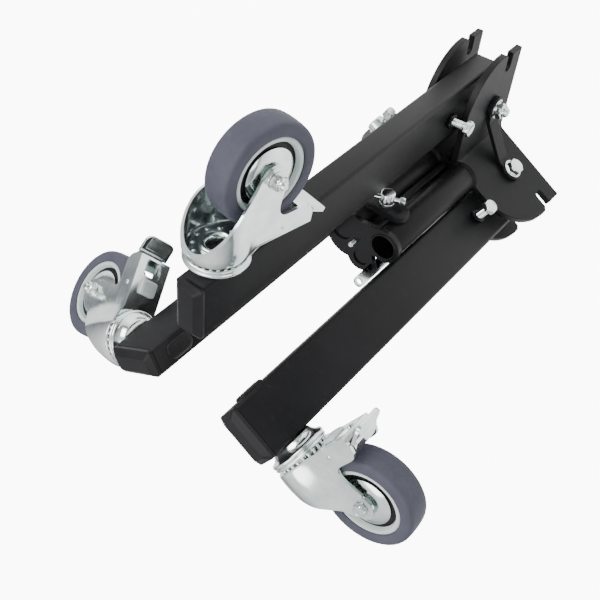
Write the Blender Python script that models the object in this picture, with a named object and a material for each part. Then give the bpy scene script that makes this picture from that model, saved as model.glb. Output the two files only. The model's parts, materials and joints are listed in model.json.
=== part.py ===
"""Folding wheeled base of a motorcycle paddock stand, folded up for storage.

A welded steel hub carries three arms that fold up beside it, each with a braked swivel
caster near its end. Two column tubes rise from the hub into a lobed end plate, with a
T-screw clamp across them and a latch strap beside them. Metres, +Z up. The origin is on
the hub's axis, in the plane of its lower edges, which the folded base stands on.
"""
import math

import bmesh
import bpy
from mathutils import Matrix, Vector

MM = 0.001
GAP = 0.3 * MM                      # between touching pieces

# Arms: rectangular steel tube, broad faces parallel to the hub plates
ARM_HEADINGS = (90.0, 210.0, 330.0)  # degrees round the hub's axis
ARM_BROAD = 60.0 * MM
ARM_NARROW = 30.0 * MM
ARM_WALL = 2.5 * MM
ARM_CORNER = 4.0 * MM
ARM_RADIUS = 82.0 * MM              # hub axis to the folded arm's middle
ARM_BASE_HEIGHT = 26.0 * MM
ARM_TOP_HEIGHT = 540.0 * MM
CAP_LIP = 4.0 * MM
CAP_CROWN = 5.0 * MM
CAP_SLOPE = 7.0 * MM
CAP_SPIGOT = 14.0 * MM
SPIGOT_FIT = 0.3 * MM
PLUG_LENGTH = 30.0 * MM
PLUG_WIDTH = 15.0 * MM
PLUG_RIM = 2.0 * MM
PLUG_RISE = 3.0 * MM

# Hub: three V-folded plates round a core bar
PLATE_THICKNESS = 8.0 * MM
ARM_SIDE_ROOM = 7.0 * MM            # arm face to plate
PLATE_REACH = 128.0 * MM            # hub axis to the plates' outer edge
PLATE_ARC = 66.0 * MM               # radius of the round edge about the pivot
SLOT_FLOOR = 107.0 * MM
SLOT_LOW = 22.0 * MM
SLOT_HIGH = 34.0 * MM
PIVOT_RADIUS = 66.0 * MM            # hub axis to the fold pivot
PIVOT_HEIGHT = 44.0 * MM
STRAP_THICKNESS = 5.0 * MM
STRAP_WIDTH = 28.0 * MM           # across its round ends
STRAP_WAIST = 19.0 * MM
STRAP_INNER = 48.0 * MM
STRAP_OUTER = 81.0 * MM

# Fasteners
BOLT_FIT = 0.4 * MM                 # radial room round a bolt or sleeve
PIVOT_BOLT = 6.0 * MM               # shank radius
PIVOT_HEX = 18.0 * MM               # across flats
PIVOT_HEAD = 7.5 * MM
PIVOT_NUT = 10.0 * MM
PIVOT_STUB = 5.0 * MM
SLEEVE_RADIUS = 9.0 * MM
STOP_BOLT = 5.0 * MM
STOP_HEX = 16.0 * MM
STOP_HEAD = 6.5 * MM
STOP_NUT = 8.0 * MM
STOP_LENGTH = 22.0 * MM             # how far the stop bolt stands out of the arm
STOP_RADIUS = 80.0 * MM
STOP_HEIGHT = 125.0 * MM
STOP_STUB = 3.5 * MM
STOP_SIDES = (-1.0, 1.0, 1.0)       # side of each arm that the stop bolt's head is on

# Column tubes, web bar, end plate and clamp
COLUMN_TOP = 272.0 * MM
MAIN_TUBE = (40.0 * MM, 3.5 * MM)
MAIN_TUBE_RADIUS = 17.5 * MM
SECOND_TUBE = (-6.0 * MM, 7.0 * MM)
SECOND_TUBE_RADIUS = 15.0 * MM
COLUMN_WALL = 2.5 * MM
WEB_WIDTH = 8.0 * MM
WEB_DEPTH = 18.0 * MM
WEB_SETBACK = 3.0 * MM
END_PLATE_THICKNESS = 6.0 * MM
END_DISC = (-5.0 * MM, -5.0 * MM, 29.0 * MM)
MAIN_LOBE_RADIUS = 20.0 * MM
LOW_LOBE = (14.0 * MM, -27.0 * MM, 17.0 * MM)
LINK_AT_DISC = (-14.5 * MM, 24.5 * MM)   # edges of the bridge to the main lobe, about the disc
LINK_AT_LOBE = (-18.0 * MM, 19.5 * MM)   # and about the lobe
CLAMP_BELOW_END = 27.0 * MM          # column's end to the clamp's middle
CLAMP_THICKNESS = 8.0 * MM
CLAMP_DEPTH = 26.0 * MM
CLAMP_SPAN = (-10.0 * MM, 45.5 * MM)
CLAMP_EDGE = 2.0 * MM
SCREW_RADIUS = 5.0 * MM
SCREW_HEAD_RADIUS = 8.0 * MM
SCREW_HEAD_LENGTH = 17.0 * MM
TOMMY_RADIUS = 2.5 * MM
TOMMY_TAIL = 20.5 * MM
TOMMY_REACH = 13.5 * MM
TOMMY_KNOB = 9.0 * MM
TOMMY_KNOB_LENGTH = 6.0 * MM
TOMMY_TURN = 113.0                  # degrees from the hub's axis
LATCH_ARM = 2                       # the latch strap stands inside the third arm
LATCH_SPAN = (38.0 * MM, 50.5 * MM)
LATCH_THICKNESS = 3.0 * MM
LATCH_FOOT_BELOW_END = (72.0 * MM, 37.0 * MM)
LATCH_FOOT_INNER = 31.0 * MM
LATCH_FOOT_SIDE = 5.2 * MM
LATCH_RISE = 50.0 * MM              # strap's top above the column's end
LATCH_HOLE = 3.5 * MM

# Casters
CASTER_INSET = 31.0 * MM            # arm's end to the swivel axis
SWIVEL_TURNS = (-12.0, -38.0, 86.0)  # degrees from trailing towards the hub
TRAIL = 44.0 * MM
AXLE_DROP = 84.0 * MM
WHEEL_RADIUS = 50.0 * MM
WHEEL_WIDTH = 30.0 * MM
RIM_RADIUS = 36.0 * MM
RIM_BEAD = 2.0 * MM
RIM_WALL = 5.0 * MM
WEB_HALF = 7.0 * MM                 # half the thickness of the wheel's web
HUB_RADIUS = 8.5 * MM
TYRE_SHOULDER = 4.0 * MM
DOME_RADIUS = 21.0 * MM             # swivel head where it meets the arm
DOME_SHOULDER = 25.0 * MM
DOME_HEIGHT = 9.0 * MM
HEAD_RADIUS = 30.5 * MM
HEAD_HEIGHT = 17.0 * MM
HEAD_EDGE = 1.5 * MM
RACE_GAP = 2.2 * MM
KINGPIN_RADIUS = 13.0 * MM
KINGPIN_BORE = 9.5 * MM
LIP_RADIUS = 16.0 * MM
LIP_HEIGHT = 3.5 * MM
FORK_GAUGE = 3.0 * MM
FORK_SIDE_ROOM = 2.5 * MM
FORK_END = 90.0 * MM                # how far the cheeks reach along the trail
FORK_FRONT = ((0.0, 29.5), (2.0, 31.0), (16.0, 31.5), (56.0, 26.0), (80.0, 20.8))  # height, radius
CHEEK_BOSS = 13.0 * MM              # radius of each cheek round the axle
CHEEK_FRONT = ((-36, 31), (-30, 41), (-24, 53), (-15, 64), (-3, 71), (10, 76), (24, 84))
CHEEK_BACK = ((55, 60), (52, 44), (60, 40), (80, 41), (88, 37), (91, 27))
WINDOW_SIZE = (22.0 * MM, 20.0 * MM, 3.0 * MM)   # length, width and corner
WINDOW_PLACE = 66.0 * MM
AXLE_BOLT = 4.0 * MM
AXLE_HEX = 13.0 * MM
AXLE_HEAD = 5.5 * MM
AXLE_NUT = 8.0 * MM
AXLE_STUB = 3.5 * MM
PEDAL_PIN = (82.0 * MM, 33.0 * MM)  # trail direction, drop below the arm
PEDAL_GAUGE = 3.5 * MM
PEDAL_LEVER = ((-5, 2), (4, 1), (10, -3), (14, -5))   # underside line from the pin
PEDAL_PAD = ((9.5, -5.5), (28, -15.5))
PEDAL_SIDE_ROOM = 0.8 * MM
PEDAL_PAD_WIDTH = 38.0 * MM

ROUND = 28
SMALL_ROUND = 18

PLATE_INNER = ARM_NARROW / 2 + ARM_SIDE_ROOM
PLATE_OUTER = PLATE_INNER + PLATE_THICKNESS
PLATE_TOP = PIVOT_HEIGHT + PLATE_ARC
ARM_OUTER = ARM_RADIUS + ARM_BROAD / 2
ARM_INNER = ARM_RADIUS - ARM_BROAD / 2
SWIVEL_HEIGHT = ARM_TOP_HEIGHT - CASTER_INSET
CLAMP_HEIGHT = COLUMN_TOP - CLAMP_BELOW_END
LATCH_FOOT = tuple(COLUMN_TOP - below for below in LATCH_FOOT_BELOW_END)
LATCH_TOP = COLUMN_TOP + LATCH_RISE
CROWN_START = HEAD_HEIGHT + RACE_GAP
CROWN_FLOOR = CROWN_START + FORK_GAUGE
CHEEK_INNER = WHEEL_WIDTH / 2 + FORK_SIDE_ROOM
CHEEK_OUTER = CHEEK_INNER + FORK_GAUGE
STRAP_FACE = PLATE_OUTER + GAP + STRAP_THICKNESS


def clear_scene():
    for item in list(bpy.data.objects):
        bpy.data.objects.remove(item, do_unlink=True)


def material(name, colour, roughness, metallic):
    made = bpy.data.materials.new(name)
    made.use_nodes = True
    shader = made.node_tree.nodes["Principled BSDF"]
    shader.inputs["Base Color"].default_value = (*colour, 1.0)
    shader.inputs["Roughness"].default_value = roughness
    shader.inputs["Metallic"].default_value = metallic
    return made


FINISHES = {
    "black_steel": ((0.018, 0.018, 0.020), 0.45, 0.0),
    "zinc": ((0.72, 0.74, 0.74), 0.30, 1.0),
    "black_plastic": ((0.020, 0.020, 0.021), 0.55, 0.0),
    "grey_rubber": ((0.19, 0.19, 0.22), 0.75, 0.0),
    "grey_plastic": ((0.42, 0.47, 0.50), 0.50, 0.0),
}


def add_object(name, bm, finish, parent=None, location=(0, 0, 0), rotation=None, smooth=True):
    """Turn a bmesh into a named object with its own material."""
    bmesh.ops.recalc_face_normals(bm, faces=bm.faces)
    mesh = bpy.data.meshes.new(name)
    bm.to_mesh(mesh)
    bm.free()
    if smooth:
        mesh.shade_smooth()
        mesh.set_sharp_from_angle(angle=math.radians(35))
    made = bpy.data.objects.new(name, mesh)
    made.data.materials.append(material(name, *FINISHES[finish]))
    bpy.context.collection.objects.link(made)
    made.parent = parent
    place = Matrix.Translation(Vector(location))
    if rotation is not None:
        place = place @ rotation.to_4x4()
    made.matrix_local = place
    return made


def add_empty(name, parent, location=(0, 0, 0), rotation=None):
    made = bpy.data.objects.new(name, None)
    bpy.context.collection.objects.link(made)
    made.parent = parent
    place = Matrix.Translation(Vector(location))
    if rotation is not None:
        place = place @ rotation.to_4x4()
    made.matrix_local = place
    return made


def add_boolean(target, tool_bm, name, operation="DIFFERENCE", rotation=None, location=(0, 0, 0)):
    """Cut or join a hidden helper shape, placed in the target's own space."""
    tool = add_object(name, tool_bm, "zinc", target, location, rotation, smooth=False)
    tool.hide_render = True
    tool.display_type = "WIRE"
    change = target.modifiers.new(name, "BOOLEAN")
    change.operation = operation
    change.solver = "EXACT"
    change.object = tool


def bridge(bm, loop_a, loop_b):
    count = len(loop_a)
    for index in range(count):
        following = (index + 1) % count
        bm.faces.new((loop_a[index], loop_a[following], loop_b[following], loop_b[index]))


def prism(outline, low, high, plane="xy"):
    """Extrude a 2D outline between two depths along the plane's third axis."""
    place = {
        "xy": lambda u, v, w: (u, v, w),
        "xz": lambda u, v, w: (u, w, v),
        "yz": lambda u, v, w: (w, u, v),
    }[plane]
    bm = bmesh.new()
    loops = [[bm.verts.new(place(u, v, w)) for u, v in outline] for w in (low, high)]
    for loop in loops:
        bm.faces.new(loop)
    bridge(bm, *loops)
    return bm


def loft(loops):
    """Skin closed loops of equal count into one capped solid."""
    bm = bmesh.new()
    rings = [[bm.verts.new(point) for point in loop] for loop in loops]
    for below, above in zip(rings, rings[1:]):
        bridge(bm, below, above)
    bm.faces.new(rings[0])
    bm.faces.new(rings[-1])
    return bm


def ring_loft(outer_loops, inner_loops):
    """Skin a hollow solid whose ends are open, from outer and inner loops."""
    bm = bmesh.new()
    rings = [[bm.verts.new(point) for point in loop] for loop in outer_loops + inner_loops[::-1]]
    for index, ring in enumerate(rings):
        bridge(bm, ring, rings[(index + 1) % len(rings)])
    return bm


def rounded_rectangle(width, depth, corner, height, steps=3, centre=(0.0, 0.0)):
    points = []
    for quarter in range(4):
        sign_x = 1 if quarter in (0, 3) else -1
        sign_y = 1 if quarter in (0, 1) else -1
        for step in range(steps + 1):
            angle = math.radians(90 * quarter + 90 * step / steps)
            points.append((centre[0] + sign_x * (width / 2 - corner) + corner * math.cos(angle),
                           centre[1] + sign_y * (depth / 2 - corner) + corner * math.sin(angle),
                           height))
    return points


def hexagon_reach(flats, angle):
    return flats / 2 / math.cos((angle % math.radians(60)) - math.radians(30))


def turned(profile, segments=ROUND, hollow=False):
    """Turn a profile about Z. Each point is (radius, height) or (flats, height, "hex")."""
    bm = bmesh.new()
    rings = []
    for point in profile:
        size, height = point[0], point[1]
        if size == 0:
            rings.append([bm.verts.new((0, 0, height))])
            continue
        ring = []
        for index in range(segments):
            angle = 2 * math.pi * index / segments
            reach = hexagon_reach(size, angle) if len(point) == 3 else size
            ring.append(bm.verts.new((reach * math.cos(angle), reach * math.sin(angle), height)))
        rings.append(ring)
    pairs = list(zip(rings, rings[1:]))
    if hollow:
        pairs.append((rings[-1], rings[0]))
    for below, above in pairs:
        if len(below) == 1 or len(above) == 1:
            tip, ring = (below[0], above) if len(below) == 1 else (above[0], below)
            for index in range(segments):
                bm.faces.new((tip, ring[index], ring[(index + 1) % segments]))
        else:
            bridge(bm, below, above)
    return bm


def rod(radius, low, high, segments=SMALL_ROUND):
    return turned([(0, low), (radius, low), (radius, high), (0, high)], segments)


def pipe(radius, bore, low, high, segments=ROUND):
    return turned([(bore, low), (radius, low), (radius, high), (bore, high)], segments, hollow=True)


def hex_bolt(radius, flats, head, length, chamfer=0.8 * MM):
    """Bolt along Z: the head's seat is at 0, the shank runs down to -length."""
    return turned([(0, -length), (radius - chamfer, -length), (radius, chamfer - length),
                   (radius, 0), (flats, 0, "hex"), (flats, head - chamfer, "hex"),
                   (flats / 2, head), (0, head)], SMALL_ROUND)


def hex_nut(bore, flats, height, chamfer=0.8 * MM):
    return turned([(bore, 0), (flats / 2, 0), (flats, chamfer, "hex"),
                   (flats, height - chamfer, "hex"), (flats / 2, height), (bore, height)],
                  SMALL_ROUND, hollow=True)


# Turns a piece modelled along Z to lie along another axis
ALONG_Y = Matrix.Rotation(math.radians(-90), 3, "X")
AGAINST_Y = Matrix.Rotation(math.radians(90), 3, "X")
ALONG_X = Matrix.Rotation(math.radians(90), 3, "Y")


def wing_outline():
    """Outline of a hub plate's wing as (distance from hub axis, height), without its fold."""
    points = [(PLATE_REACH, 0.0), (PLATE_REACH, SLOT_LOW)]
    middle = (SLOT_LOW + SLOT_HIGH) / 2
    radius = (SLOT_HIGH - SLOT_LOW) / 2
    for step in range(7):
        angle = math.radians(-90 - 30 * step)
        points.append((SLOT_FLOOR + radius + radius * math.cos(angle),
                       middle + radius * math.sin(angle)))
    points.append((PLATE_REACH, SLOT_HIGH))
    for step in range(15):
        angle = math.radians(-4 + 94 * step / 14)
        points.append((PIVOT_RADIUS + PLATE_ARC * math.cos(angle),
                       PIVOT_HEIGHT + PLATE_ARC * math.sin(angle)))
    return points


def wing_point(side, reach, offset, height):
    """Point on a wing, in the frame whose +X runs between two arms."""
    turn = math.radians(60)
    return (reach * math.cos(turn) + offset * math.sin(turn),
            side * (reach * math.sin(turn) - offset * math.cos(turn)),
            height)


def hub_plate_mesh():
    bm = bmesh.new()
    outline = wing_outline()
    faces = {}
    for offset in (PLATE_INNER, PLATE_OUTER):
        fold = offset * math.tan(math.radians(30))
        low = bm.verts.new(wing_point(1, fold, offset, 0.0))
        high = bm.verts.new(wing_point(1, fold, offset, PLATE_TOP))
        for side in (-1, 1):
            edge = [bm.verts.new(wing_point(side, reach, offset, height))
                    for reach, height in outline]
            faces[offset, side] = [low, *edge, high]
            bm.faces.new(faces[offset, side])
    for side in (-1, 1):
        inner = faces[PLATE_INNER, side]
        outer = faces[PLATE_OUTER, side]
        for index in range(len(inner) - 1):
            bm.faces.new((inner[index], inner[index + 1], outer[index + 1], outer[index]))
    return bm


def strap_mesh():
    near = PLATE_OUTER + GAP
    bend = 2 * STRAP_THICKNESS * (1 - math.sin(math.radians(60)))
    corners = [(-1, STRAP_OUTER, near), (-1, STRAP_INNER, near), (1, STRAP_INNER, near),
               (1, STRAP_OUTER, near), (1, STRAP_OUTER, STRAP_FACE),
               (1, STRAP_INNER + bend, STRAP_FACE), (-1, STRAP_INNER + bend, STRAP_FACE),
               (-1, STRAP_OUTER, STRAP_FACE)]
    outline = [wing_point(side, reach, offset, 0.0)[:2] for side, reach, offset in corners]
    return prism(outline, PIVOT_HEIGHT - STRAP_WIDTH, PIVOT_HEIGHT + STRAP_WIDTH)


def strap_front():
    """Front shape of a strap: two round ends joined by a narrower waist."""
    across = wing_point(1, PIVOT_RADIUS, PLATE_OUTER, 0.0)[1]
    half = STRAP_WIDTH / 2
    waist = math.degrees(math.asin(STRAP_WAIST / STRAP_WIDTH))
    points = []
    for side, start in ((1, waist - 180), (-1, waist)):
        for step in range(13):
            angle = math.radians(start + (360 - 2 * waist) * step / 12)
            points.append((side * across + half * math.sin(math.radians(60)) * math.cos(angle),
                           PIVOT_HEIGHT + half * math.sin(angle)))
    return prism(points, 0.0, PLATE_REACH, "yz")


def drill_wings(target, radius, name):
    """Cut the pivot hole through both wings of a plate or strap."""
    for side in (-1, 1):
        centre = wing_point(side, PIVOT_RADIUS, PLATE_OUTER, PIVOT_HEIGHT)
        across = Vector((math.sin(math.radians(60)), -side * math.cos(math.radians(60)), 0))
        turn = Vector((0, 0, 1)).rotation_difference(across).to_matrix()
        add_boolean(target, rod(radius, -2 * PLATE_THICKNESS, 2 * PLATE_THICKNESS),
                    f"{name}_drill_{side + 2}", rotation=turn, location=centre)


def make_hub():
    core = PLATE_INNER / math.cos(math.radians(30)) - GAP
    add_object("hub_core", rod(core, 0.0, PLATE_TOP, ROUND), "black_steel")
    for number, heading in enumerate(ARM_HEADINGS, 1):
        frame = add_empty(f"hub_side_{number}", None, rotation=Matrix.Rotation(
            math.radians(heading - 60), 3, "Z"))
        plate = add_object(f"hub_plate_{number}", hub_plate_mesh(), "black_steel", frame,
                           smooth=False)
        drill_wings(plate, PIVOT_BOLT + BOLT_FIT, f"plate_{number}")
        strap = add_object(f"corner_strap_{number}", strap_mesh(), "black_steel", frame,
                           smooth=False)
        add_boolean(strap, strap_front(), f"strap_front_{number}", "INTERSECT")
        drill_wings(strap, PIVOT_BOLT + BOLT_FIT, f"strap_{number}")


def make_pivot(number, frame):
    """Fold pivot of one arm: bolt, nut and the sleeve that keeps the arm central."""
    seat = STRAP_FACE + GAP
    length = 2 * seat + PIVOT_NUT + PIVOT_STUB
    add_object(f"pivot_bolt_{number}", hex_bolt(PIVOT_BOLT, PIVOT_HEX, PIVOT_HEAD, length),
               "zinc", frame, (0, seat, 0), ALONG_Y)
    add_object(f"pivot_nut_{number}", hex_nut(PIVOT_BOLT + GAP, PIVOT_HEX, PIVOT_NUT),
               "zinc", frame, (0, -seat, 0), AGAINST_Y)
    half = PLATE_INNER - GAP
    add_object(f"pivot_sleeve_{number}",
               pipe(SLEEVE_RADIUS, PIVOT_BOLT + BOLT_FIT, -half, half, SMALL_ROUND),
               "zinc", frame, (0, 0, 0), ALONG_Y)


def make_arm(number, frame):
    """Arm tube, end cap, access plug and stop bolt, in the fold pivot's space."""
    base = ARM_BASE_HEIGHT - PIVOT_HEIGHT
    top = ARM_TOP_HEIGHT - PIVOT_HEIGHT
    middle = ARM_RADIUS - PIVOT_RADIUS
    swivel = SWIVEL_HEIGHT - PIVOT_HEIGHT
    outer = [rounded_rectangle(ARM_BROAD, ARM_NARROW, ARM_CORNER, z, centre=(middle, 0))
             for z in (base, top)]
    inner = [rounded_rectangle(ARM_BROAD - 2 * ARM_WALL, ARM_NARROW - 2 * ARM_WALL,
                               ARM_CORNER - ARM_WALL, z, centre=(middle, 0)) for z in (base, top)]
    tube = add_object(f"arm_tube_{number}", ring_loft(outer, inner), "black_steel", frame)
    across = ARM_NARROW
    add_boolean(tube, rod(SLEEVE_RADIUS + BOLT_FIT, -across, across), f"sleeve_hole_{number}",
                rotation=ALONG_Y)
    stop_place = (STOP_RADIUS - PIVOT_RADIUS, 0, STOP_HEIGHT - PIVOT_HEIGHT)
    add_boolean(tube, rod(STOP_BOLT + BOLT_FIT, -across, across), f"stop_hole_{number}",
                rotation=ALONG_Y, location=stop_place)
    inner_face = ARM_INNER - PIVOT_RADIUS
    add_boolean(tube, loft(plug_loops(GAP, (-ARM_WALL, 2 * ARM_WALL))), f"plug_hole_{number}",
                rotation=ALONG_X, location=(inner_face, 0, swivel))

    spigot_broad = ARM_BROAD - 2 * ARM_WALL - 2 * SPIGOT_FIT
    spigot_narrow = ARM_NARROW - 2 * ARM_WALL - 2 * SPIGOT_FIT
    seat = top + GAP
    centre = (middle, 0)
    cap = loft([
        rounded_rectangle(spigot_broad, spigot_narrow, ARM_WALL / 2, top - CAP_SPIGOT,
                          centre=centre),
        rounded_rectangle(spigot_broad, spigot_narrow, ARM_WALL / 2, seat, centre=centre),
        rounded_rectangle(ARM_BROAD, ARM_NARROW, ARM_CORNER, seat, centre=centre),
        rounded_rectangle(ARM_BROAD, ARM_NARROW, ARM_CORNER, seat + CAP_LIP, centre=centre),
        rounded_rectangle(ARM_BROAD - 2 * CAP_SLOPE, ARM_NARROW - 2 * CAP_SLOPE, ARM_WALL / 2,
                          seat + CAP_LIP + CAP_CROWN, centre=centre)])
    add_object(f"arm_cap_{number}", cap, "black_plastic", frame)

    low, high = -PLUG_RISE, ARM_WALL
    rim = [rounded_rectangle(PLUG_LENGTH + 2 * PLUG_RIM - inset, PLUG_WIDTH + 2 * PLUG_RIM - inset,
                             PLUG_WIDTH / 2 - inset / 2, z)
           for inset, z in ((2 * PLUG_RIM, low), (0.0, low + PLUG_RISE / 2), (0.0, -GAP))]
    plug = loft([*rim, *plug_loops(0.0, (-GAP, high))])
    add_object(f"arm_plug_{number}", plug, "black_plastic", frame, (inner_face, 0, swivel),
               ALONG_X)

    side = STOP_SIDES[number - 1]
    turn, back = (ALONG_Y, AGAINST_Y) if side > 0 else (AGAINST_Y, ALONG_Y)
    seat = ARM_NARROW / 2 + STOP_LENGTH
    tail = ARM_NARROW / 2 + GAP + STOP_NUT + STOP_STUB
    add_object(f"stop_bolt_{number}", hex_bolt(STOP_BOLT, STOP_HEX, STOP_HEAD, seat + tail),
               "zinc", frame, (stop_place[0], side * seat, stop_place[2]), turn)
    add_object(f"stop_nut_{number}", hex_nut(STOP_BOLT + GAP, STOP_HEX, STOP_NUT), "zinc", frame,
               (stop_place[0], -side * (ARM_NARROW / 2 + GAP), stop_place[2]), back)


def plug_loops(growth, heights):
    """Loops of the access hole and of the plug's body, along its own Z, long side in X."""
    return [rounded_rectangle(PLUG_LENGTH + 2 * growth, PLUG_WIDTH + 2 * growth,
                              PLUG_WIDTH / 2 - GAP + growth, z) for z in heights]


def fork_plan(front, inset, end, height):
    """Plan of the pressed fork at one height: a round front that runs into straight cheeks."""
    cheek = CHEEK_OUTER - inset
    flat = TRAIL - CHEEK_BOSS
    radius = front - inset
    touch = math.atan2(cheek, flat) + math.acos(radius / math.hypot(flat, cheek))
    points = []
    for step in range(15):
        angle = touch + 2 * (math.pi - touch) * step / 14
        points.append((radius * math.cos(angle), radius * math.sin(angle), height))
    for x, y in ((flat, -cheek), (end, -cheek), (end, cheek), (flat, cheek)):
        points.append((x, y, height))
    return points


def fork_shell(inset, lift, end):
    return loft([fork_plan(radius * MM, inset, end, CROWN_START + lift + height * MM)
                 for height, radius in FORK_FRONT])


def cheek_profile():
    """Side view of the fork in the plane of the trail (x) and the drop (z)."""
    points = [(CHEEK_FRONT[0][0] * MM, CROWN_START - FORK_GAUGE)]
    points += [(x * MM, z * MM) for x, z in CHEEK_FRONT]
    for step in range(9):
        angle = math.radians(135 - 160 * step / 8)
        points.append((TRAIL + CHEEK_BOSS * math.cos(angle),
                       AXLE_DROP + CHEEK_BOSS * math.sin(angle)))
    points += [(x * MM, z * MM) for x, z in CHEEK_BACK]
    points.append((FORK_END - FORK_GAUGE, CROWN_START - FORK_GAUGE))
    return prism(points, -2 * CHEEK_OUTER, 2 * CHEEK_OUTER, "xz")


def make_fork(number, swivel):
    """Pressed steel fork: a cup over the race whose walls run out into the two cheeks."""
    fork = add_object(f"fork_{number}", fork_shell(0.0, 0.0, FORK_END), "zinc", swivel)
    add_boolean(fork, fork_shell(FORK_GAUGE, FORK_GAUGE, FORK_END + FORK_GAUGE),
                f"fork_inside_{number}")
    add_boolean(fork, cheek_profile(), f"fork_profile_{number}", "INTERSECT")
    add_boolean(fork, rod(KINGPIN_RADIUS + BOLT_FIT, 0.0, 2 * CROWN_START, ROUND),
                f"kingpin_hole_{number}")
    length, width, corner = WINDOW_SIZE
    window = loft([rounded_rectangle(length, width, corner, z, centre=(WINDOW_PLACE, 0))
                   for z in (CROWN_START - FORK_GAUGE, CROWN_FLOOR + FORK_GAUGE)])
    add_boolean(fork, window, f"window_{number}")
    add_boolean(fork, rod(AXLE_BOLT + BOLT_FIT, -2 * CHEEK_OUTER, 2 * CHEEK_OUTER),
                f"axle_hole_{number}", rotation=ALONG_Y, location=(TRAIL, 0, AXLE_DROP))


def make_caster(number, arm_frame):
    """Swivel head on the arm, then the fork, wheel and pedal on their own axes."""
    outward = Vector((1, 0, 0))
    turn = math.radians(SWIVEL_TURNS[number - 1])
    trailing = Vector((0, math.sin(turn), -math.cos(turn)))
    sideways = outward.cross(trailing)
    basis = Matrix((trailing, sideways, outward)).transposed()
    place = (ARM_OUTER - PIVOT_RADIUS, 0, SWIVEL_HEIGHT - PIVOT_HEIGHT)
    swivel = add_empty(f"swivel_axis_{number}", arm_frame, place, basis)

    lip = CROWN_FLOOR + GAP
    head = [(KINGPIN_BORE, GAP), (DOME_RADIUS, GAP), (DOME_SHOULDER, DOME_HEIGHT - 3 * HEAD_EDGE),
            (DOME_SHOULDER, DOME_HEIGHT), (HEAD_RADIUS - HEAD_EDGE, DOME_HEIGHT),
            (HEAD_RADIUS, DOME_HEIGHT + HEAD_EDGE), (HEAD_RADIUS, HEAD_HEIGHT - HEAD_EDGE),
            (HEAD_RADIUS - HEAD_EDGE, HEAD_HEIGHT), (KINGPIN_RADIUS, HEAD_HEIGHT),
            (KINGPIN_RADIUS, lip), (LIP_RADIUS, lip), (LIP_RADIUS, lip + LIP_HEIGHT - HEAD_EDGE),
            (LIP_RADIUS - HEAD_EDGE, lip + LIP_HEIGHT), (KINGPIN_BORE, lip + LIP_HEIGHT - HEAD_EDGE)]
    add_object(f"caster_head_{number}", turned(head, ROUND, hollow=True), "zinc", swivel)
    make_fork(number, swivel)

    seat = CHEEK_OUTER + GAP
    length = 2 * seat + AXLE_NUT + AXLE_STUB
    add_object(f"axle_bolt_{number}", hex_bolt(AXLE_BOLT, AXLE_HEX, AXLE_HEAD, length), "zinc",
               swivel, (TRAIL, seat, AXLE_DROP), ALONG_Y)
    add_object(f"axle_nut_{number}", hex_nut(AXLE_BOLT + GAP, AXLE_HEX, AXLE_NUT), "zinc",
               swivel, (TRAIL, -seat, AXLE_DROP), AGAINST_Y)

    wheel = add_empty(f"wheel_axis_{number}", swivel, (TRAIL, 0, AXLE_DROP), ALONG_Y)
    make_wheel(number, wheel)
    pedal = add_empty(f"pedal_axis_{number}", swivel, (PEDAL_PIN[0], 0, PEDAL_PIN[1]))
    make_pedal(number, pedal)


def mirrored(profile):
    """Add the lower half of a wheel profile to its upper half."""
    return profile + [(radius, -height) for radius, height in reversed(profile)]


def make_wheel(number, frame):
    half = WHEEL_WIDTH / 2
    hub_end = CHEEK_INNER - GAP
    seat = RIM_RADIUS + RIM_BEAD
    rim_face = half - 1.5 * MM
    bead_end = half - 4 * MM
    rim = mirrored([(AXLE_BOLT + BOLT_FIT, hub_end), (HUB_RADIUS, hub_end), (HUB_RADIUS, WEB_HALF),
                    (RIM_RADIUS - RIM_WALL, WEB_HALF), (RIM_RADIUS - RIM_WALL, rim_face),
                    (RIM_RADIUS, rim_face), (seat, bead_end)])
    add_object(f"wheel_rim_{number}", turned(rim, ROUND, hollow=True), "grey_plastic", frame)
    tyre = mirrored([(seat + GAP, bead_end), (RIM_RADIUS + GAP, rim_face + 0.5 * MM),
                     (RIM_RADIUS + 1 * MM, half), (WHEEL_RADIUS - TYRE_SHOULDER, half),
                     (WHEEL_RADIUS - TYRE_SHOULDER / 4, half - TYRE_SHOULDER / 2),
                     (WHEEL_RADIUS, half - 1.4 * TYRE_SHOULDER)])
    add_object(f"tyre_{number}", turned(tyre, ROUND, hollow=True), "grey_rubber", frame)


def make_pedal(number, frame):
    """Total-lock pedal: a lever between the cheeks and a wider foot pad."""
    width = CHEEK_INNER - PEDAL_SIDE_ROOM
    pedal = add_object(f"brake_pedal_{number}", prism(plate_outline(PEDAL_LEVER), -width, width, "xz"),
                       "zinc", frame, smooth=False)
    half = PEDAL_PAD_WIDTH / 2
    add_boolean(pedal, prism(plate_outline(PEDAL_PAD), -half, half, "xz"), f"pad_{number}", "UNION")


def plate_outline(line):
    """Outline of a bent plate one pedal gauge thick, above a line in millimetres."""
    under = [(x * MM, z * MM) for x, z in line]
    return under + [(x, z + PEDAL_GAUGE) for x, z in reversed(under)]


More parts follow.
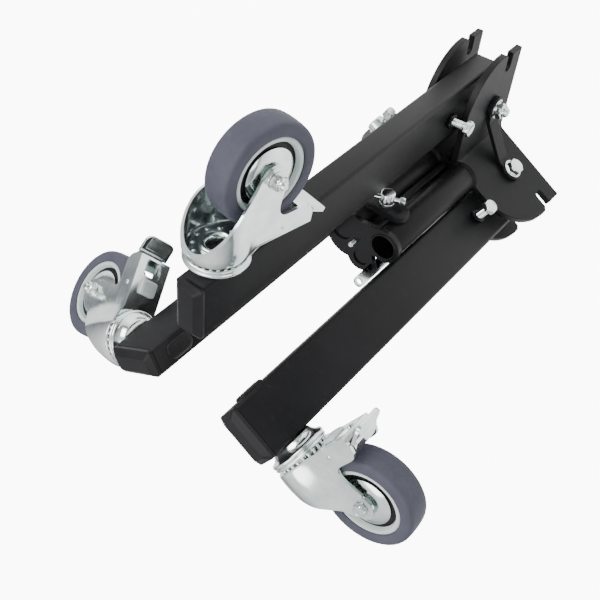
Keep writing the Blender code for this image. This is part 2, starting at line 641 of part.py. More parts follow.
def make_column():
    """Two tubes, the web bar between them, the lobed end plate and the clamp."""
    base = PLATE_TOP + GAP
    add_object("main_tube", pipe(MAIN_TUBE_RADIUS, MAIN_TUBE_RADIUS - COLUMN_WALL, base,
                                 COLUMN_TOP), "black_steel", location=(*MAIN_TUBE, 0))
    add_object("second_tube", pipe(SECOND_TUBE_RADIUS, SECOND_TUBE_RADIUS - COLUMN_WALL, base,
                                   COLUMN_TOP), "black_steel", location=(*SECOND_TUBE, 0))
    between = (SECOND_TUBE[0] + SECOND_TUBE_RADIUS + MAIN_TUBE[0] - MAIN_TUBE_RADIUS) / 2
    web = loft([rounded_rectangle(WEB_WIDTH, WEB_DEPTH, 1 * MM, z, 2)
                for z in (base, COLUMN_TOP)])
    add_object("web_bar", web, "black_steel", location=(between, SECOND_TUBE[1] - WEB_SETBACK, 0))

    low = COLUMN_TOP + GAP
    high = low + END_PLATE_THICKNESS
    plate = add_object("end_plate", rod(END_DISC[2], low, high, ROUND), "black_steel",
                       location=(END_DISC[0], END_DISC[1], 0))
    shift = Vector((END_DISC[0], END_DISC[1], 0))
    for name, lobe in (("main_lobe", (*MAIN_TUBE, MAIN_LOBE_RADIUS)), ("low_lobe", LOW_LOBE)):
        centre = Vector((lobe[0], lobe[1], 0)) - shift
        add_boolean(plate, rod(lobe[2], low, high, ROUND), name, "UNION", location=centre)
    link = Vector((MAIN_TUBE[0], MAIN_TUBE[1], 0)) - shift
    ends = [(0, LINK_AT_DISC[1]), (0, LINK_AT_DISC[0]), (link.x, link.y + LINK_AT_LOBE[0]),
            (link.x, link.y + LINK_AT_LOBE[1])]
    add_boolean(plate, prism(ends, low, high), "plate_bridge", "UNION")
    bore = MAIN_TUBE_RADIUS - COLUMN_WALL
    add_boolean(plate, rod(bore, low - END_PLATE_THICKNESS, high + END_PLATE_THICKNESS),
                "main_bore", location=link)

    tops = max(SECOND_TUBE[1] + SECOND_TUBE_RADIUS, MAIN_TUBE[1] + MAIN_TUBE_RADIUS) + GAP
    left, right = CLAMP_SPAN
    middle = (left + right) / 2
    pad = loft([rounded_rectangle(right - left - inset, CLAMP_DEPTH - inset,
                                  CLAMP_DEPTH / 2 - inset / 2 - GAP, z, 6)
                for inset, z in ((0.0, 0.0), (0.0, CLAMP_THICKNESS - CLAMP_EDGE),
                                 (2 * CLAMP_EDGE, CLAMP_THICKNESS))])
    clamp = add_object("clamp_pad", pad, "black_plastic", None, (middle, tops, CLAMP_HEIGHT),
                       ALONG_Y)
    add_boolean(clamp, rod(SCREW_RADIUS + BOLT_FIT, -CLAMP_THICKNESS, 2 * CLAMP_THICKNESS),
                "screw_hole")
    make_clamp_screw((middle, tops + CLAMP_THICKNESS, CLAMP_HEIGHT))


def make_clamp_screw(place):
    axis = add_empty("screw_axis", None, place, ALONG_Y)
    shank = CLAMP_THICKNESS
    top = GAP + SCREW_HEAD_LENGTH
    screw = turned([(0, -shank), (SCREW_RADIUS, -shank), (SCREW_RADIUS, GAP),
                    (SCREW_HEAD_RADIUS, GAP), (SCREW_HEAD_RADIUS, top - HEAD_EDGE),
                    (SCREW_HEAD_RADIUS - HEAD_EDGE, top), (0, top)], SMALL_ROUND)
    screw = add_object("clamp_screw", screw, "zinc", axis)
    height = GAP + SCREW_HEAD_LENGTH / 2
    turn = Matrix.Rotation(math.radians(TOMMY_TURN), 3, "Z") @ AGAINST_Y
    add_boolean(screw, rod(TOMMY_RADIUS + BOLT_FIT, -2 * SCREW_HEAD_RADIUS, 2 * SCREW_HEAD_RADIUS),
                "tommy_hole", rotation=turn, location=(0, 0, height))
    bar = turned([(0, -TOMMY_TAIL), (TOMMY_RADIUS, -TOMMY_TAIL), (TOMMY_RADIUS, TOMMY_REACH),
                  (TOMMY_KNOB, TOMMY_REACH, "hex"),
                  (TOMMY_KNOB, TOMMY_REACH + TOMMY_KNOB_LENGTH, "hex"),
                  (0, TOMMY_REACH + TOMMY_KNOB_LENGTH)], SMALL_ROUND)
    add_object("tommy_bar", bar, "zinc", axis, (0, 0, height), turn)


def make_latch_strap():
    """Flat strap with a hole near its round top, welded by its foot to the main tube."""
    turn = Matrix.Rotation(math.radians(ARM_HEADINGS[LATCH_ARM]), 3, "Z")
    inner, outer = LATCH_SPAN
    middle = (inner + outer) / 2
    radius = (outer - inner) / 2
    points = [(inner, LATCH_FOOT[0]), (outer, LATCH_FOOT[0])]
    for step in range(9):
        angle = math.pi * step / 8
        points.append((middle + radius * math.cos(angle),
                       LATCH_TOP - radius + radius * math.sin(angle)))
    half = LATCH_THICKNESS / 2
    strap = add_object("latch_strap", prism(points, -half, half, "xz"), "zinc", None, (0, 0, 0), turn,
                       smooth=False)
    low, high = LATCH_FOOT
    foot = [(LATCH_FOOT_INNER, low), (outer, low), (outer, high), (LATCH_FOOT_INNER, high)]
    add_boolean(strap, prism(foot, -half, LATCH_FOOT_SIDE, "xz"), "latch_foot", "UNION")
    add_boolean(strap, rod(LATCH_HOLE, -LATCH_THICKNESS, LATCH_THICKNESS), "latch_hole",
                rotation=ALONG_Y, location=(middle, 0, LATCH_TOP - radius))


def build():
    clear_scene()
    make_hub()
    make_column()
    make_latch_strap()
    for number, heading in enumerate(ARM_HEADINGS, 1):
        turn = Matrix.Rotation(math.radians(heading), 3, "Z")
        pivot_place = turn @ Vector((PIVOT_RADIUS, 0, PIVOT_HEIGHT))
        fold = add_empty(f"fold_axis_{number}", None, pivot_place, turn)
        make_pivot(number, fold)
        make_arm(number, fold)
        make_caster(number, fold)


build()
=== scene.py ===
"""Looks of the folded paddock stand base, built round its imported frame."""
import json
import math

import bmesh
import bpy
from mathutils import Matrix, Vector


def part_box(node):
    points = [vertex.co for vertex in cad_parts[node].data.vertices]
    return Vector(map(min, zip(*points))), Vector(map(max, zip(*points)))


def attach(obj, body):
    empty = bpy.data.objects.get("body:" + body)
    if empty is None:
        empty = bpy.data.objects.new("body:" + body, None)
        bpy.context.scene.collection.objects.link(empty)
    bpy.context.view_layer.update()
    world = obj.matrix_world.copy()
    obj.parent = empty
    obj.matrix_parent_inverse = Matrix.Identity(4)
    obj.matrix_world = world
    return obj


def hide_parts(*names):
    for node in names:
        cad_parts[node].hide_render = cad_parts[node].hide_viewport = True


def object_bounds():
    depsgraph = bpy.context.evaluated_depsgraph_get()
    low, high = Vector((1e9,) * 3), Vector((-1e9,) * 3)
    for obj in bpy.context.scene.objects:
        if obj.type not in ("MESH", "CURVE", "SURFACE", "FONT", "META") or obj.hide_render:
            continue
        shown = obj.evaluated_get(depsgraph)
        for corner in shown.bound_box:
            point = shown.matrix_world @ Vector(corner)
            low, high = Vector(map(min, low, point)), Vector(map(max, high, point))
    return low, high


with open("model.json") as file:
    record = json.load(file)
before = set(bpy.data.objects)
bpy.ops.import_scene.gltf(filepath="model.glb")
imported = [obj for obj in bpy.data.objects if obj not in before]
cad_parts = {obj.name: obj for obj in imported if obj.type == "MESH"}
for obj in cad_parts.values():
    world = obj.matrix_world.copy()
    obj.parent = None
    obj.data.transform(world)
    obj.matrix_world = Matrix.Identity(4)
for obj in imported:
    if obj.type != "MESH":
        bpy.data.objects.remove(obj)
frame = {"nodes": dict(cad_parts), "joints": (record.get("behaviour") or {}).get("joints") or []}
cad_low, cad_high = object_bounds()
joints = {joint["name"]: joint for joint in frame["joints"]}
scene = bpy.context.scene

# ---- Studio -------------------------------------------------------------------------
# A plain pale floor at the height the wheels stand on when the arms are down, a soft
# pale world and three large soft panels. The camera looks down past the first arm.
FLOOR_SIZE = 60.0
FLOOR_GLOW = 9.0
FLOOR_GLINT = 0.45
FLOOR_DROP = 0.1205
SKY_STRENGTH = 1.25
VIEW_RIGHT = Vector((0.79306, 0.08116, -0.60371))
VIEW_UP = Vector((-0.47157, 0.70916, -0.52414))
VIEW_PLACE = Vector((0.3938, 0.6785, 0.9821))
VIEW_LENS = 57.4


def node_material(name):
    """New material, with its node tree and its Principled shader."""
    made = bpy.data.materials.new(name)
    made.use_nodes = True
    return made, made.node_tree, made.node_tree.nodes["Principled BSDF"]


def add_node(tree, kind, values=None, **settings):
    node = tree.nodes.new(kind)
    for key, value in settings.items():
        setattr(node, key, value)
    for key, value in (values or {}).items():
        node.inputs[key].default_value = value
    return node


def ramp(tree, source, low, high, dark, bright):
    """Map a mask from low..high to a colour between dark and bright."""
    node = add_node(tree, "ShaderNodeValToRGB")
    node.color_ramp.elements[0].position = low
    node.color_ramp.elements[1].position = high
    node.color_ramp.elements[0].color = (*dark, 1.0)
    node.color_ramp.elements[1].color = (*bright, 1.0)
    tree.links.new(source, node.inputs["Fac"])
    return node.outputs["Color"]


def spread(tree, source, low, high):
    """Map a 0..1 mask to a plain value between low and high."""
    node = add_node(tree, "ShaderNodeMapRange", {"To Min": low, "To Max": high})
    tree.links.new(source, node.inputs["Value"])
    return node.outputs["Result"]


def mesh_of(name, bm):
    mesh = bpy.data.meshes.new(name)
    bm.to_mesh(mesh)
    bm.free()
    return mesh


floor_bm = bmesh.new()
bmesh.ops.create_grid(floor_bm, x_segments=4, y_segments=4, size=FLOOR_SIZE / 2)
floor_mesh = mesh_of("studio_floor", floor_bm)
floor = bpy.data.objects.new("studio_floor", floor_mesh)
floor.location.z = -FLOOR_DROP
scene.collection.objects.link(floor)
floor_finish, floor_tree, floor_shader = node_material("pale_floor")
floor_link = floor_tree.links.new
floor_cloud = add_node(floor_tree, "ShaderNodeTexNoise", {"Scale": 3.0, "Detail": 2.0})
floor_link(ramp(floor_tree, floor_cloud.outputs["Fac"], 0.3, 0.7, (0.93, 0.93, 0.93),
                (0.95, 0.95, 0.95)), floor_shader.inputs["Base Color"])
floor_shader.inputs["Roughness"].default_value = 0.9
floor_shader.inputs["Emission Color"].default_value = (1.0, 1.0, 1.0, 1.0)
floor_rays = add_node(floor_tree, "ShaderNodeLightPath")
floor_glow = add_node(floor_tree, "ShaderNodeMath", {1: FLOOR_GLINT, 2: 0.0},
                      operation="MULTIPLY_ADD")
floor_link(floor_rays.outputs["Is Glossy Ray"], floor_glow.inputs[0])
floor_link(spread(floor_tree, floor_rays.outputs["Is Camera Ray"], 0.0, FLOOR_GLOW),
           floor_glow.inputs[2])
floor_link(floor_glow.outputs[0], floor_shader.inputs["Emission Strength"])
floor_mesh.materials.append(floor_finish)

world = bpy.data.worlds.new("soft_studio")
world.use_nodes = True
sky = world.node_tree
sky_link = sky.links.new
sky_place = add_node(sky, "ShaderNodeTexCoord")
sky_split = add_node(sky, "ShaderNodeSeparateXYZ")
sky_link(sky_place.outputs["Generated"], sky_split.inputs[0])
sky_height = spread(sky, sky_split.outputs["Z"], 0.0, 1.0)
sky_link(ramp(sky, sky_height, 0.05, 0.75, (0.22, 0.23, 0.25), (1.0, 1.0, 1.0)),
         sky.nodes["Background"].inputs["Color"])
sky.nodes["Background"].inputs["Strength"].default_value = SKY_STRENGTH
sky_backdrop = add_node(sky, "ShaderNodeBackground", {"Strength": FLOOR_GLOW + 1.0})
sky_choice = add_node(sky, "ShaderNodeMixShader")
sky_rays = add_node(sky, "ShaderNodeLightPath")
sky_link(sky_rays.outputs["Is Camera Ray"], sky_choice.inputs["Fac"])
sky_link(sky.nodes["Background"].outputs[0], sky_choice.inputs[1])
sky_link(sky_backdrop.outputs[0], sky_choice.inputs[2])
sky_link(sky_choice.outputs[0], sky.nodes["World Output"].inputs["Surface"])
scene.world = world


def soft_panel(name, place, size, power):
    lamp = bpy.data.lights.new(name, "AREA")
    lamp.shape = "SQUARE"
    lamp.size = size
    lamp.energy = power
    made = bpy.data.objects.new(name, lamp)
    middle = (cad_low + cad_high) / 2
    made.location = middle + Vector(place)
    made.rotation_euler = (-Vector(place)).to_track_quat("-Z", "Y").to_euler()
    scene.collection.objects.link(made)


soft_panel("key_panel", (-0.9, 1.6, 1.3), 1.3, 42.0)
soft_panel("side_panel", (1.9, 0.2, 0.9), 1.0, 9.0)
soft_panel("top_panel", (0.1, 0.1, 2.4), 1.6, 30.0)

camera = bpy.data.objects.new("camera", bpy.data.cameras.new("camera"))
camera.data.lens = VIEW_LENS
view_back = VIEW_RIGHT.cross(VIEW_UP)
camera.matrix_world = (Matrix.Translation(VIEW_PLACE)
                       @ Matrix((VIEW_RIGHT, VIEW_UP, view_back)).transposed().to_4x4())
scene.collection.objects.link(camera)
scene.camera = camera

# ---- Hub plates ---------------------------------------------------------------------
# Three 8 mm steel plates, cut with a slot near each outer corner, folded to a V and
# welded round the core. All the black steel has one satin powder coat, slightly pebbled
# and scuffed pale where it has been handled.
PLATE_SIDES = 3
PLATE_GAUGE = 0.008
PLATE_OFFSET = 0.026
PLATE_REACH = 0.128
PLATE_BEND = 0.012
PLATE_ARC = 0.066
SLOT_ROOT = 0.107
SLOT_EDGES = (0.022, 0.034)
CLOUD_BAND = (0.34, 0.66)
SCUFF_BAND = (0.6, 0.74)
SCUFF_ROUGHNESS = 0.14
PLATED_SPECULAR = 0.5
COATED_SPECULAR = 0.19
EASED_ABOVE = 40
WING_TURN = math.radians(60)
pivot_reach = Vector(joints["arm_fold_1"]["pos_m"]).xy.length
pivot_height = joints["arm_fold_1"]["pos_m"][2]
heading_of = [math.radians(30 + 120 * index) for index in range(PLATE_SIDES)]


def grain_group():
    """Cloud and scuff masks and a fine grain height, at a scale in marks per metre."""
    tree = bpy.data.node_groups.new("surface_marks", "ShaderNodeTree")
    for name, default in (("Cloud Scale", 20.0), ("Grain Scale", 900.0), ("Scuff Scale", 60.0)):
        socket = tree.interface.new_socket(name, in_out="INPUT", socket_type="NodeSocketFloat")
        socket.default_value = default
    for name in ("Cloud", "Grain", "Scuff"):
        tree.interface.new_socket(name, in_out="OUTPUT", socket_type="NodeSocketFloat")
    link = tree.links.new
    entry = add_node(tree, "NodeGroupInput")
    leave = add_node(tree, "NodeGroupOutput")
    place = add_node(tree, "ShaderNodeTexCoord")
    cloud = add_node(tree, "ShaderNodeTexNoise", {"Detail": 4.0, "Roughness": 0.6})
    grain = add_node(tree, "ShaderNodeTexNoise", {"Detail": 2.0, "Roughness": 0.5})
    stretch = add_node(tree, "ShaderNodeMapping", {"Scale": (1.0, 0.25, 1.6),
                                                   "Rotation": (0.4, 0.9, 0.3)})
    scuff = add_node(tree, "ShaderNodeTexNoise", {"Detail": 6.0, "Roughness": 0.72})
    edge = add_node(tree, "ShaderNodeMapRange", {"From Min": SCUFF_BAND[0],
                                                "From Max": SCUFF_BAND[1]})
    for texture, source in ((cloud, "Cloud Scale"), (grain, "Grain Scale"), (scuff, "Scuff Scale")):
        link(entry.outputs[source], texture.inputs["Scale"])
    link(place.outputs["Object"], cloud.inputs["Vector"])
    link(place.outputs["Object"], grain.inputs["Vector"])
    link(place.outputs["Object"], stretch.inputs["Vector"])
    link(stretch.outputs["Vector"], scuff.inputs["Vector"])
    link(scuff.outputs["Fac"], edge.inputs["Value"])
    link(cloud.outputs["Fac"], leave.inputs["Cloud"])
    link(grain.outputs["Fac"], leave.inputs["Grain"])
    link(edge.outputs["Result"], leave.inputs["Scuff"])
    return tree


marks = grain_group()


def finish_of(name, dark, bright, worn, scales, roughness, metallic, bump, scuff_share):
    """Material with cloudy colour, pale scuffs, uneven gloss and a fine grain."""
    made, tree, shader = node_material(name)
    link = tree.links.new
    source = add_node(tree, "ShaderNodeGroup", node_tree=marks)
    for socket, value in zip(("Cloud Scale", "Grain Scale", "Scuff Scale"), scales):
        source.inputs[socket].default_value = value
    colour = ramp(tree, source.outputs["Cloud"], *CLOUD_BAND, dark, bright)
    share = spread(tree, source.outputs["Scuff"], 0.0, scuff_share)
    mix = add_node(tree, "ShaderNodeMix", data_type="RGBA")
    mix.inputs["B"].default_value = (*worn, 1.0)
    link(share, mix.inputs["Factor"])
    link(colour, mix.inputs["A"])
    link(mix.outputs["Result"], shader.inputs["Base Color"])
    gloss = spread(tree, source.outputs["Cloud"], *roughness)
    rougher = add_node(tree, "ShaderNodeMath", {1: SCUFF_ROUGHNESS, 2: 0.0},
                       operation="MULTIPLY_ADD")
    link(source.outputs["Scuff"], rougher.inputs[0])
    link(gloss, rougher.inputs[2])
    link(rougher.outputs[0], shader.inputs["Roughness"])
    shader.inputs["Metallic"].default_value = metallic
    specular = PLATED_SPECULAR if metallic else COATED_SPECULAR
    shader.inputs["Specular IOR Level"].default_value = specular
    relief = add_node(tree, "ShaderNodeBump", {"Strength": bump[0], "Distance": bump[1]})
    link(source.outputs["Grain"], relief.inputs["Height"])
    link(relief.outputs["Normal"], shader.inputs["Normal"])
    return made


powder_coat = finish_of("satin_black_powder_coat",
                        (0.0035, 0.0035, 0.0042), (0.007, 0.007, 0.008), (0.035, 0.035, 0.037),
                        (14.0, 1100.0, 70.0), (0.40, 0.54), 0.0, (0.25, 0.0002), 0.3)


def add_piece(name, bm, material, body, nodes=(), place=None, bevel=0.0, sharp=35.0):
    """Make a piece from a mesh built in its own space, ease its edges and let it ride."""
    bmesh.ops.recalc_face_normals(bm, faces=bm.faces)
    mesh = mesh_of(name, bm)
    if place is not None:
        mesh.transform(place)
    mesh.shade_smooth()
    mesh.set_sharp_from_angle(angle=math.radians(sharp))
    mesh.materials.append(material)
    made = bpy.data.objects.new(name, mesh)
    scene.collection.objects.link(made)
    if bevel:
        ease = made.modifiers.new("eased_edges", "BEVEL")
        ease.width = bevel
        ease.segments = 2
        ease.limit_method = "ANGLE"
        ease.angle_limit = math.radians(EASED_ABOVE)
        ease.harden_normals = True
    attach(made, body)
    if nodes:
        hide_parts(*nodes)


def skin(loops, joined=False):
    """Closed solid or ring skinned over loops of equal count."""
    bm = bmesh.new()
    rings = [[bm.verts.new(point) for point in loop] for loop in loops]
    pairs = list(zip(rings, rings[1:]))
    if joined:
        pairs.append((rings[-1], rings[0]))
    for below, above in pairs:
        for index in range(len(below)):
            after = (index + 1) % len(below)
            bm.faces.new((below[index], below[after], above[after], above[index]))
    if not joined:
        bm.faces.new(rings[0])
        bm.faces.new(rings[-1])
    return bm


def wing_point(side, reach, offset):
    """Plan point on a wing, where +X runs midway between two arms."""
    return Vector((reach * math.cos(WING_TURN) + offset * math.sin(WING_TURN),
                   side * (reach * math.sin(WING_TURN) - offset * math.cos(WING_TURN))))


def fold_runs(corners, radius):
    """Straight runs and bends of a folded sheet's middle line, in plan."""
    headings = [math.atan2((b - a).y, (b - a).x) for a, b in zip(corners, corners[1:])]
    turns = [after - before for before, after in zip(headings, headings[1:])]
    trims = [0.0, *[radius * math.tan(abs(turn) / 2) for turn in turns], 0.0]
    runs = []
    for index, heading in enumerate(headings):
        along = Vector((math.cos(heading), math.sin(heading)))
        length = (corners[index + 1] - corners[index]).length - trims[index] - trims[index + 1]
        runs.append((length, corners[index] + along * trims[index], heading, 0.0))
        if index < len(turns):
            start = corners[index + 1] - along * trims[index + 1]
            runs.append((radius * abs(turns[index]), start, heading,
                         math.copysign(1 / radius, turns[index])))
    return runs


def folded(runs, distance, offset):
    """Plan point at a distance along the folded middle line and an offset from it."""
    for index, (length, start, heading, curve) in enumerate(runs):
        if distance <= length or index == len(runs) - 1:
            break
        distance -= length
    turned_heading = heading + curve * distance
    left = Vector((-math.sin(heading), math.cos(heading)))
    left_here = Vector((-math.sin(turned_heading), math.cos(turned_heading)))
    if curve == 0.0:
        along = Vector((math.cos(heading), math.sin(heading)))
        return start + along * distance + left * offset
    return start + left / curve - left_here / curve + left_here * offset


def folded_sheet(outline, runs, gauge, steps=8):
    """Cut a flat blank (distance, height), give it its gauge and fold it."""
    bm = skin([[(s, w, z) for s, z in outline] for w in (-gauge / 2, gauge / 2)])
    start = 0.0
    for length, _, _, curve in runs:
        if curve:
            for step in range(steps + 1):
                bmesh.ops.bisect_plane(bm, geom=bm.verts[:] + bm.edges[:] + bm.faces[:],
                                       plane_co=(start + length * step / steps, 0, 0),
                                       plane_no=(1, 0, 0))
        start += length
    for vertex in bm.verts:
        place = folded(runs, vertex.co.x, vertex.co.y)
        vertex.co = (place.x, place.y, vertex.co.z)
    return bm


def arc_points(centre, radius, start, end, steps):
    return [(centre[0] + radius * math.cos(math.radians(start + (end - start) * step / steps)),
             centre[1] + radius * math.sin(math.radians(start + (end - start) * step / steps)))
            for step in range(steps + 1)]


fold_reach = PLATE_OFFSET * math.tan(math.radians(30))
plate_runs = fold_runs([wing_point(-1, PLATE_REACH, PLATE_OFFSET),
                        wing_point(1, fold_reach, PLATE_OFFSET),
                        wing_point(1, PLATE_REACH, PLATE_OFFSET)], PLATE_BEND)
plate_length = sum(run[0] for run in plate_runs)
slot_middle = sum(SLOT_EDGES) / 2
slot_half = (SLOT_EDGES[1] - SLOT_EDGES[0]) / 2
wing_outline = [(PLATE_REACH, 0.0), (PLATE_REACH, SLOT_EDGES[0])]
wing_outline += arc_points((SLOT_ROOT + slot_half, slot_middle), slot_half, 270, 90, 8)
wing_outline += [(PLATE_REACH, SLOT_EDGES[1])]
wing_outline += arc_points((pivot_reach, pivot_height), PLATE_ARC, -4, 90, 30)
plate_outline = [(plate_length - PLATE_REACH + reach, height) for reach, height in wing_outline]
plate_outline += [(PLATE_REACH - reach, height) for reach, height in reversed(wing_outline)]
for index, heading in enumerate(heading_of):
    add_piece(f"folded_hub_plate_{index + 1}",
              folded_sheet(plate_outline, plate_runs, PLATE_GAUGE), powder_coat, "hub",
              [f"hub_plate_{index + 1}"],
              Matrix.Rotation(heading, 4, "Z"), bevel=0.0007, sharp=30.0)



def coat(node_name, material):
    """Give a piece that keeps its CAD shape its finish."""
    materials = frame["nodes"][node_name].data.materials
    materials.clear()
    materials.append(material)


coat("hub_core", powder_coat)

# ---- Corner straps ------------------------------------------------------------------
# A 5 mm strap with two round ends ties neighbouring pivot bolts across each fold. It is
# narrower between the bolts and is bent twice so that each end lies flat on a plate.
STRAP_GAUGE = 0.005
STRAP_OFFSET = 0.0328
STRAP_ENDS = 0.014
STRAP_WAIST = 0.0095
STRAP_BEND = 0.007
STRAP_CORNER = 0.0487
strap_reach = pivot_reach + STRAP_ENDS
strap_runs = fold_runs([wing_point(-1, strap_reach, STRAP_OFFSET),
                        wing_point(-1, STRAP_CORNER, STRAP_OFFSET),
                        wing_point(1, STRAP_CORNER, STRAP_OFFSET),
                        wing_point(1, strap_reach, STRAP_OFFSET)], STRAP_BEND)
strap_length = sum(run[0] for run in strap_runs)
waist_turn = math.degrees(math.asin(STRAP_WAIST / STRAP_ENDS))
strap_outline = arc_points((strap_length - STRAP_ENDS, pivot_height), STRAP_ENDS,
                           waist_turn - 180, 180 - waist_turn, 24)
strap_outline += arc_points((STRAP_ENDS, pivot_height), STRAP_ENDS, waist_turn,
                            360 - waist_turn, 24)
for index, heading in enumerate(heading_of):
    add_piece(f"bent_strap_{index + 1}", folded_sheet(strap_outline, strap_runs, STRAP_GAUGE),
              powder_coat, "hub", [f"corner_strap_{index + 1}"],
              Matrix.Rotation(heading, 4, "Z"), bevel=0.0006, sharp=30.0)

# ---- Pivot bolts --------------------------------------------------------------------
# Zinc plated M12 bolts with flat washers and a lock nut hold each arm between its two
# plates. The plating is bright, with a faint blue and straw cast and soft tool marks.
PIVOT_HEX = 0.018
PIVOT_SHANK = 0.006
PIVOT_HEAD = 0.0075
PIVOT_NUT = 0.010
PIVOT_TAIL = 0.005
WASHER_RADIUS = 0.0118
WASHER_GAUGE = 0.0014
PIVOT_GAP = 0.0006
HEX_STEPS = 48
HEX_CORNER = 0.577

zinc_plate = finish_of("bright_zinc_plate", (0.66, 0.74, 0.74),
                       (0.84, 0.88, 0.84), (0.52, 0.56, 0.55), (60.0, 1800.0, 160.0),
                       (0.09, 0.20), 1.0, (0.08, 0.0001), 0.3)


def circle_loop(radius, height, steps=HEX_STEPS):
    return [(radius * math.cos(2 * math.pi * index / steps),
             radius * math.sin(2 * math.pi * index / steps), height) for index in range(steps)]


def hex_loop(flats, limit, height):
    """Hexagon across flats, rounded off where it would pass the limit radius."""
    points = []
    for index in range(HEX_STEPS):
        angle = 2 * math.pi * index / HEX_STEPS
        reach = flats / 2 / math.cos(angle % math.radians(60) - math.radians(30))
        reach = min(reach, limit)
        points.append((reach * math.cos(angle), reach * math.sin(angle), height))
    return points


def turned(profile, steps=96, joined=False):
    """Turn a profile of (radius, height) about Z."""
    return skin([circle_loop(radius, height, steps) for radius, height in profile],
                joined=joined)


def thread_profile(radius, low, high, pitch):
    """Crests and roots of a screw thread, from low to high."""
    count = max(2, int(abs(high - low) / pitch))
    step = (high - low) / count
    points = []
    for index in range(count):
        points += [(radius * 0.9, low + step * index), (radius, low + step * (index + 0.35)),
                   (radius, low + step * (index + 0.6))]
    return points + [(radius * 0.88, high)]


def join(*parts):
    """Bring several closed meshes together as one piece."""
    whole = parts[0]
    for part in parts[1:]:
        mesh = mesh_of("part", part)
        whole.from_mesh(mesh)
        bpy.data.meshes.remove(mesh)
    return whole


def hex_head(flats, height, base=0.0):
    """Bolt head with its chamfered top, a shallow dish and a washer face below."""
    corner = flats * HEX_CORNER
    return skin([circle_loop(flats * 0.47, base), circle_loop(flats * 0.47, base + 0.0004),
                 hex_loop(flats, corner, base + 0.0005),
                 hex_loop(flats, corner, base + height - 0.0012),
                 hex_loop(flats, flats * 0.485, base + height - 0.0001),
                 circle_loop(flats * 0.4, base + height),
                 circle_loop(flats * 0.36, base + height - 0.0004)])


def lock_nut(flats, height, shank, base=0.0):
    """Nut with both ends chamfered and a plain collar on its outer end."""
    corner = flats * HEX_CORNER
    return skin([circle_loop(shank * 1.02, base), circle_loop(flats * 0.47, base),
                 hex_loop(flats, corner, base + 0.001),
                 hex_loop(flats, corner, base + height * 0.72),
                 hex_loop(flats, flats * 0.48, base + height * 0.8),
                 circle_loop(flats * 0.42, base + height * 0.84),
                 circle_loop(flats * 0.4, base + height * 0.98),
                 circle_loop(shank * 1.02, base + height)], joined=True)


def washer(radius, hole, gauge, base=0.0):
    ease = gauge * 0.25
    return turned([(hole, base), (radius - ease, base), (radius, base + ease),
                   (radius, base + gauge - ease), (radius - ease, base + gauge),
                   (hole, base + gauge)], 64, joined=True)


def axis_frame(place, axis, hint):
    """Frame at a point whose Z is the axis and whose X leans to the hint."""
    z = Vector(axis).normalized()
    y = z.cross(Vector(hint)).normalized()
    return Matrix.Translation(Vector(place)) @ Matrix((y.cross(z), y, z)).transposed().to_4x4()


def both_ends(joint, hint):
    """Frames at a joint, looking out along its axis and the other way."""
    return (axis_frame(joint["pos_m"], joint["axis"], hint),
            axis_frame(joint["pos_m"], [-value for value in joint["axis"]], hint))


pivot_seat = PLATE_OFFSET + PLATE_GAUGE / 2 + STRAP_GAUGE + PIVOT_GAP
for number in (1, 2, 3):
    head_end, nut_end = both_ends(joints[f"arm_fold_{number}"], (0, 0, 1))
    far = -pivot_seat - PIVOT_NUT - PIVOT_TAIL
    shank = turned([(0.0009, far), (PIVOT_SHANK * 0.8, far),
                    *thread_profile(PIVOT_SHANK, far + 0.0012, -pivot_seat + 0.004, 0.00175),
                    (PIVOT_SHANK, -0.02), (PIVOT_SHANK, pivot_seat)], HEX_STEPS)
    add_piece(f"hex_pivot_bolt_{number}",
              join(shank, hex_head(PIVOT_HEX, PIVOT_HEAD, pivot_seat + WASHER_GAUGE)), zinc_plate,
              "hub", [f"pivot_bolt_{number}"], head_end)
    add_piece(f"head_washer_{number}", washer(WASHER_RADIUS, PIVOT_SHANK * 1.04, WASHER_GAUGE,
                                              pivot_seat), zinc_plate, "hub", place=head_end)
    add_piece(f"nut_washer_{number}", washer(WASHER_RADIUS, PIVOT_SHANK * 1.04, WASHER_GAUGE,
                                             pivot_seat), zinc_plate, "hub", place=nut_end)
    add_piece(f"pivot_lock_nut_{number}",
              lock_nut(PIVOT_HEX, PIVOT_NUT, PIVOT_SHANK, pivot_seat + WASHER_GAUGE), zinc_plate,
              "hub", [f"pivot_nut_{number}"], nut_end)
    coat(f"pivot_sleeve_{number}", zinc_plate)

# ---- Arm tubes ----------------------------------------------------------------------
# Rectangular welded steel tube with rolled corners, powder coated. Its holes are behind
# bolts, nuts and plugs, so this skin isn't drilled. The first arm lies along +Y, so its
# box gives every size.
arm_low, arm_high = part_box("arm_tube_1")
ARM_WALL = 0.0025
ARM_CORNER = 0.0042
ARM_EASE = 0.0006
arm_middle = (arm_low + arm_high) / 2
arm_size = arm_high - arm_low
arm_turns = {number: Matrix.Rotation(math.radians(120 * (number - 1)), 4, "Z")
             for number in (1, 2, 3)}


def rounded_loop(width, depth, corner, height, centre=(0.0, 0.0), steps=6):
    points = []
    for quarter, (sx, sy) in enumerate(((1, 1), (-1, 1), (-1, -1), (1, -1))):
        centre_x = centre[0] + sx * (width / 2 - corner)
        centre_y = centre[1] + sy * (depth / 2 - corner)
        points += [(x, y, height) for x, y in
                   arc_points((centre_x, centre_y), corner, 90 * quarter, 90 * quarter + 90, steps)]
    return points


def arm_loop(inset, height, corner=ARM_CORNER):
    return rounded_loop(arm_size.x - 2 * inset, arm_size.y - 2 * inset,
                        max(corner - inset, 0.0008), height, (arm_middle.x, arm_middle.y))


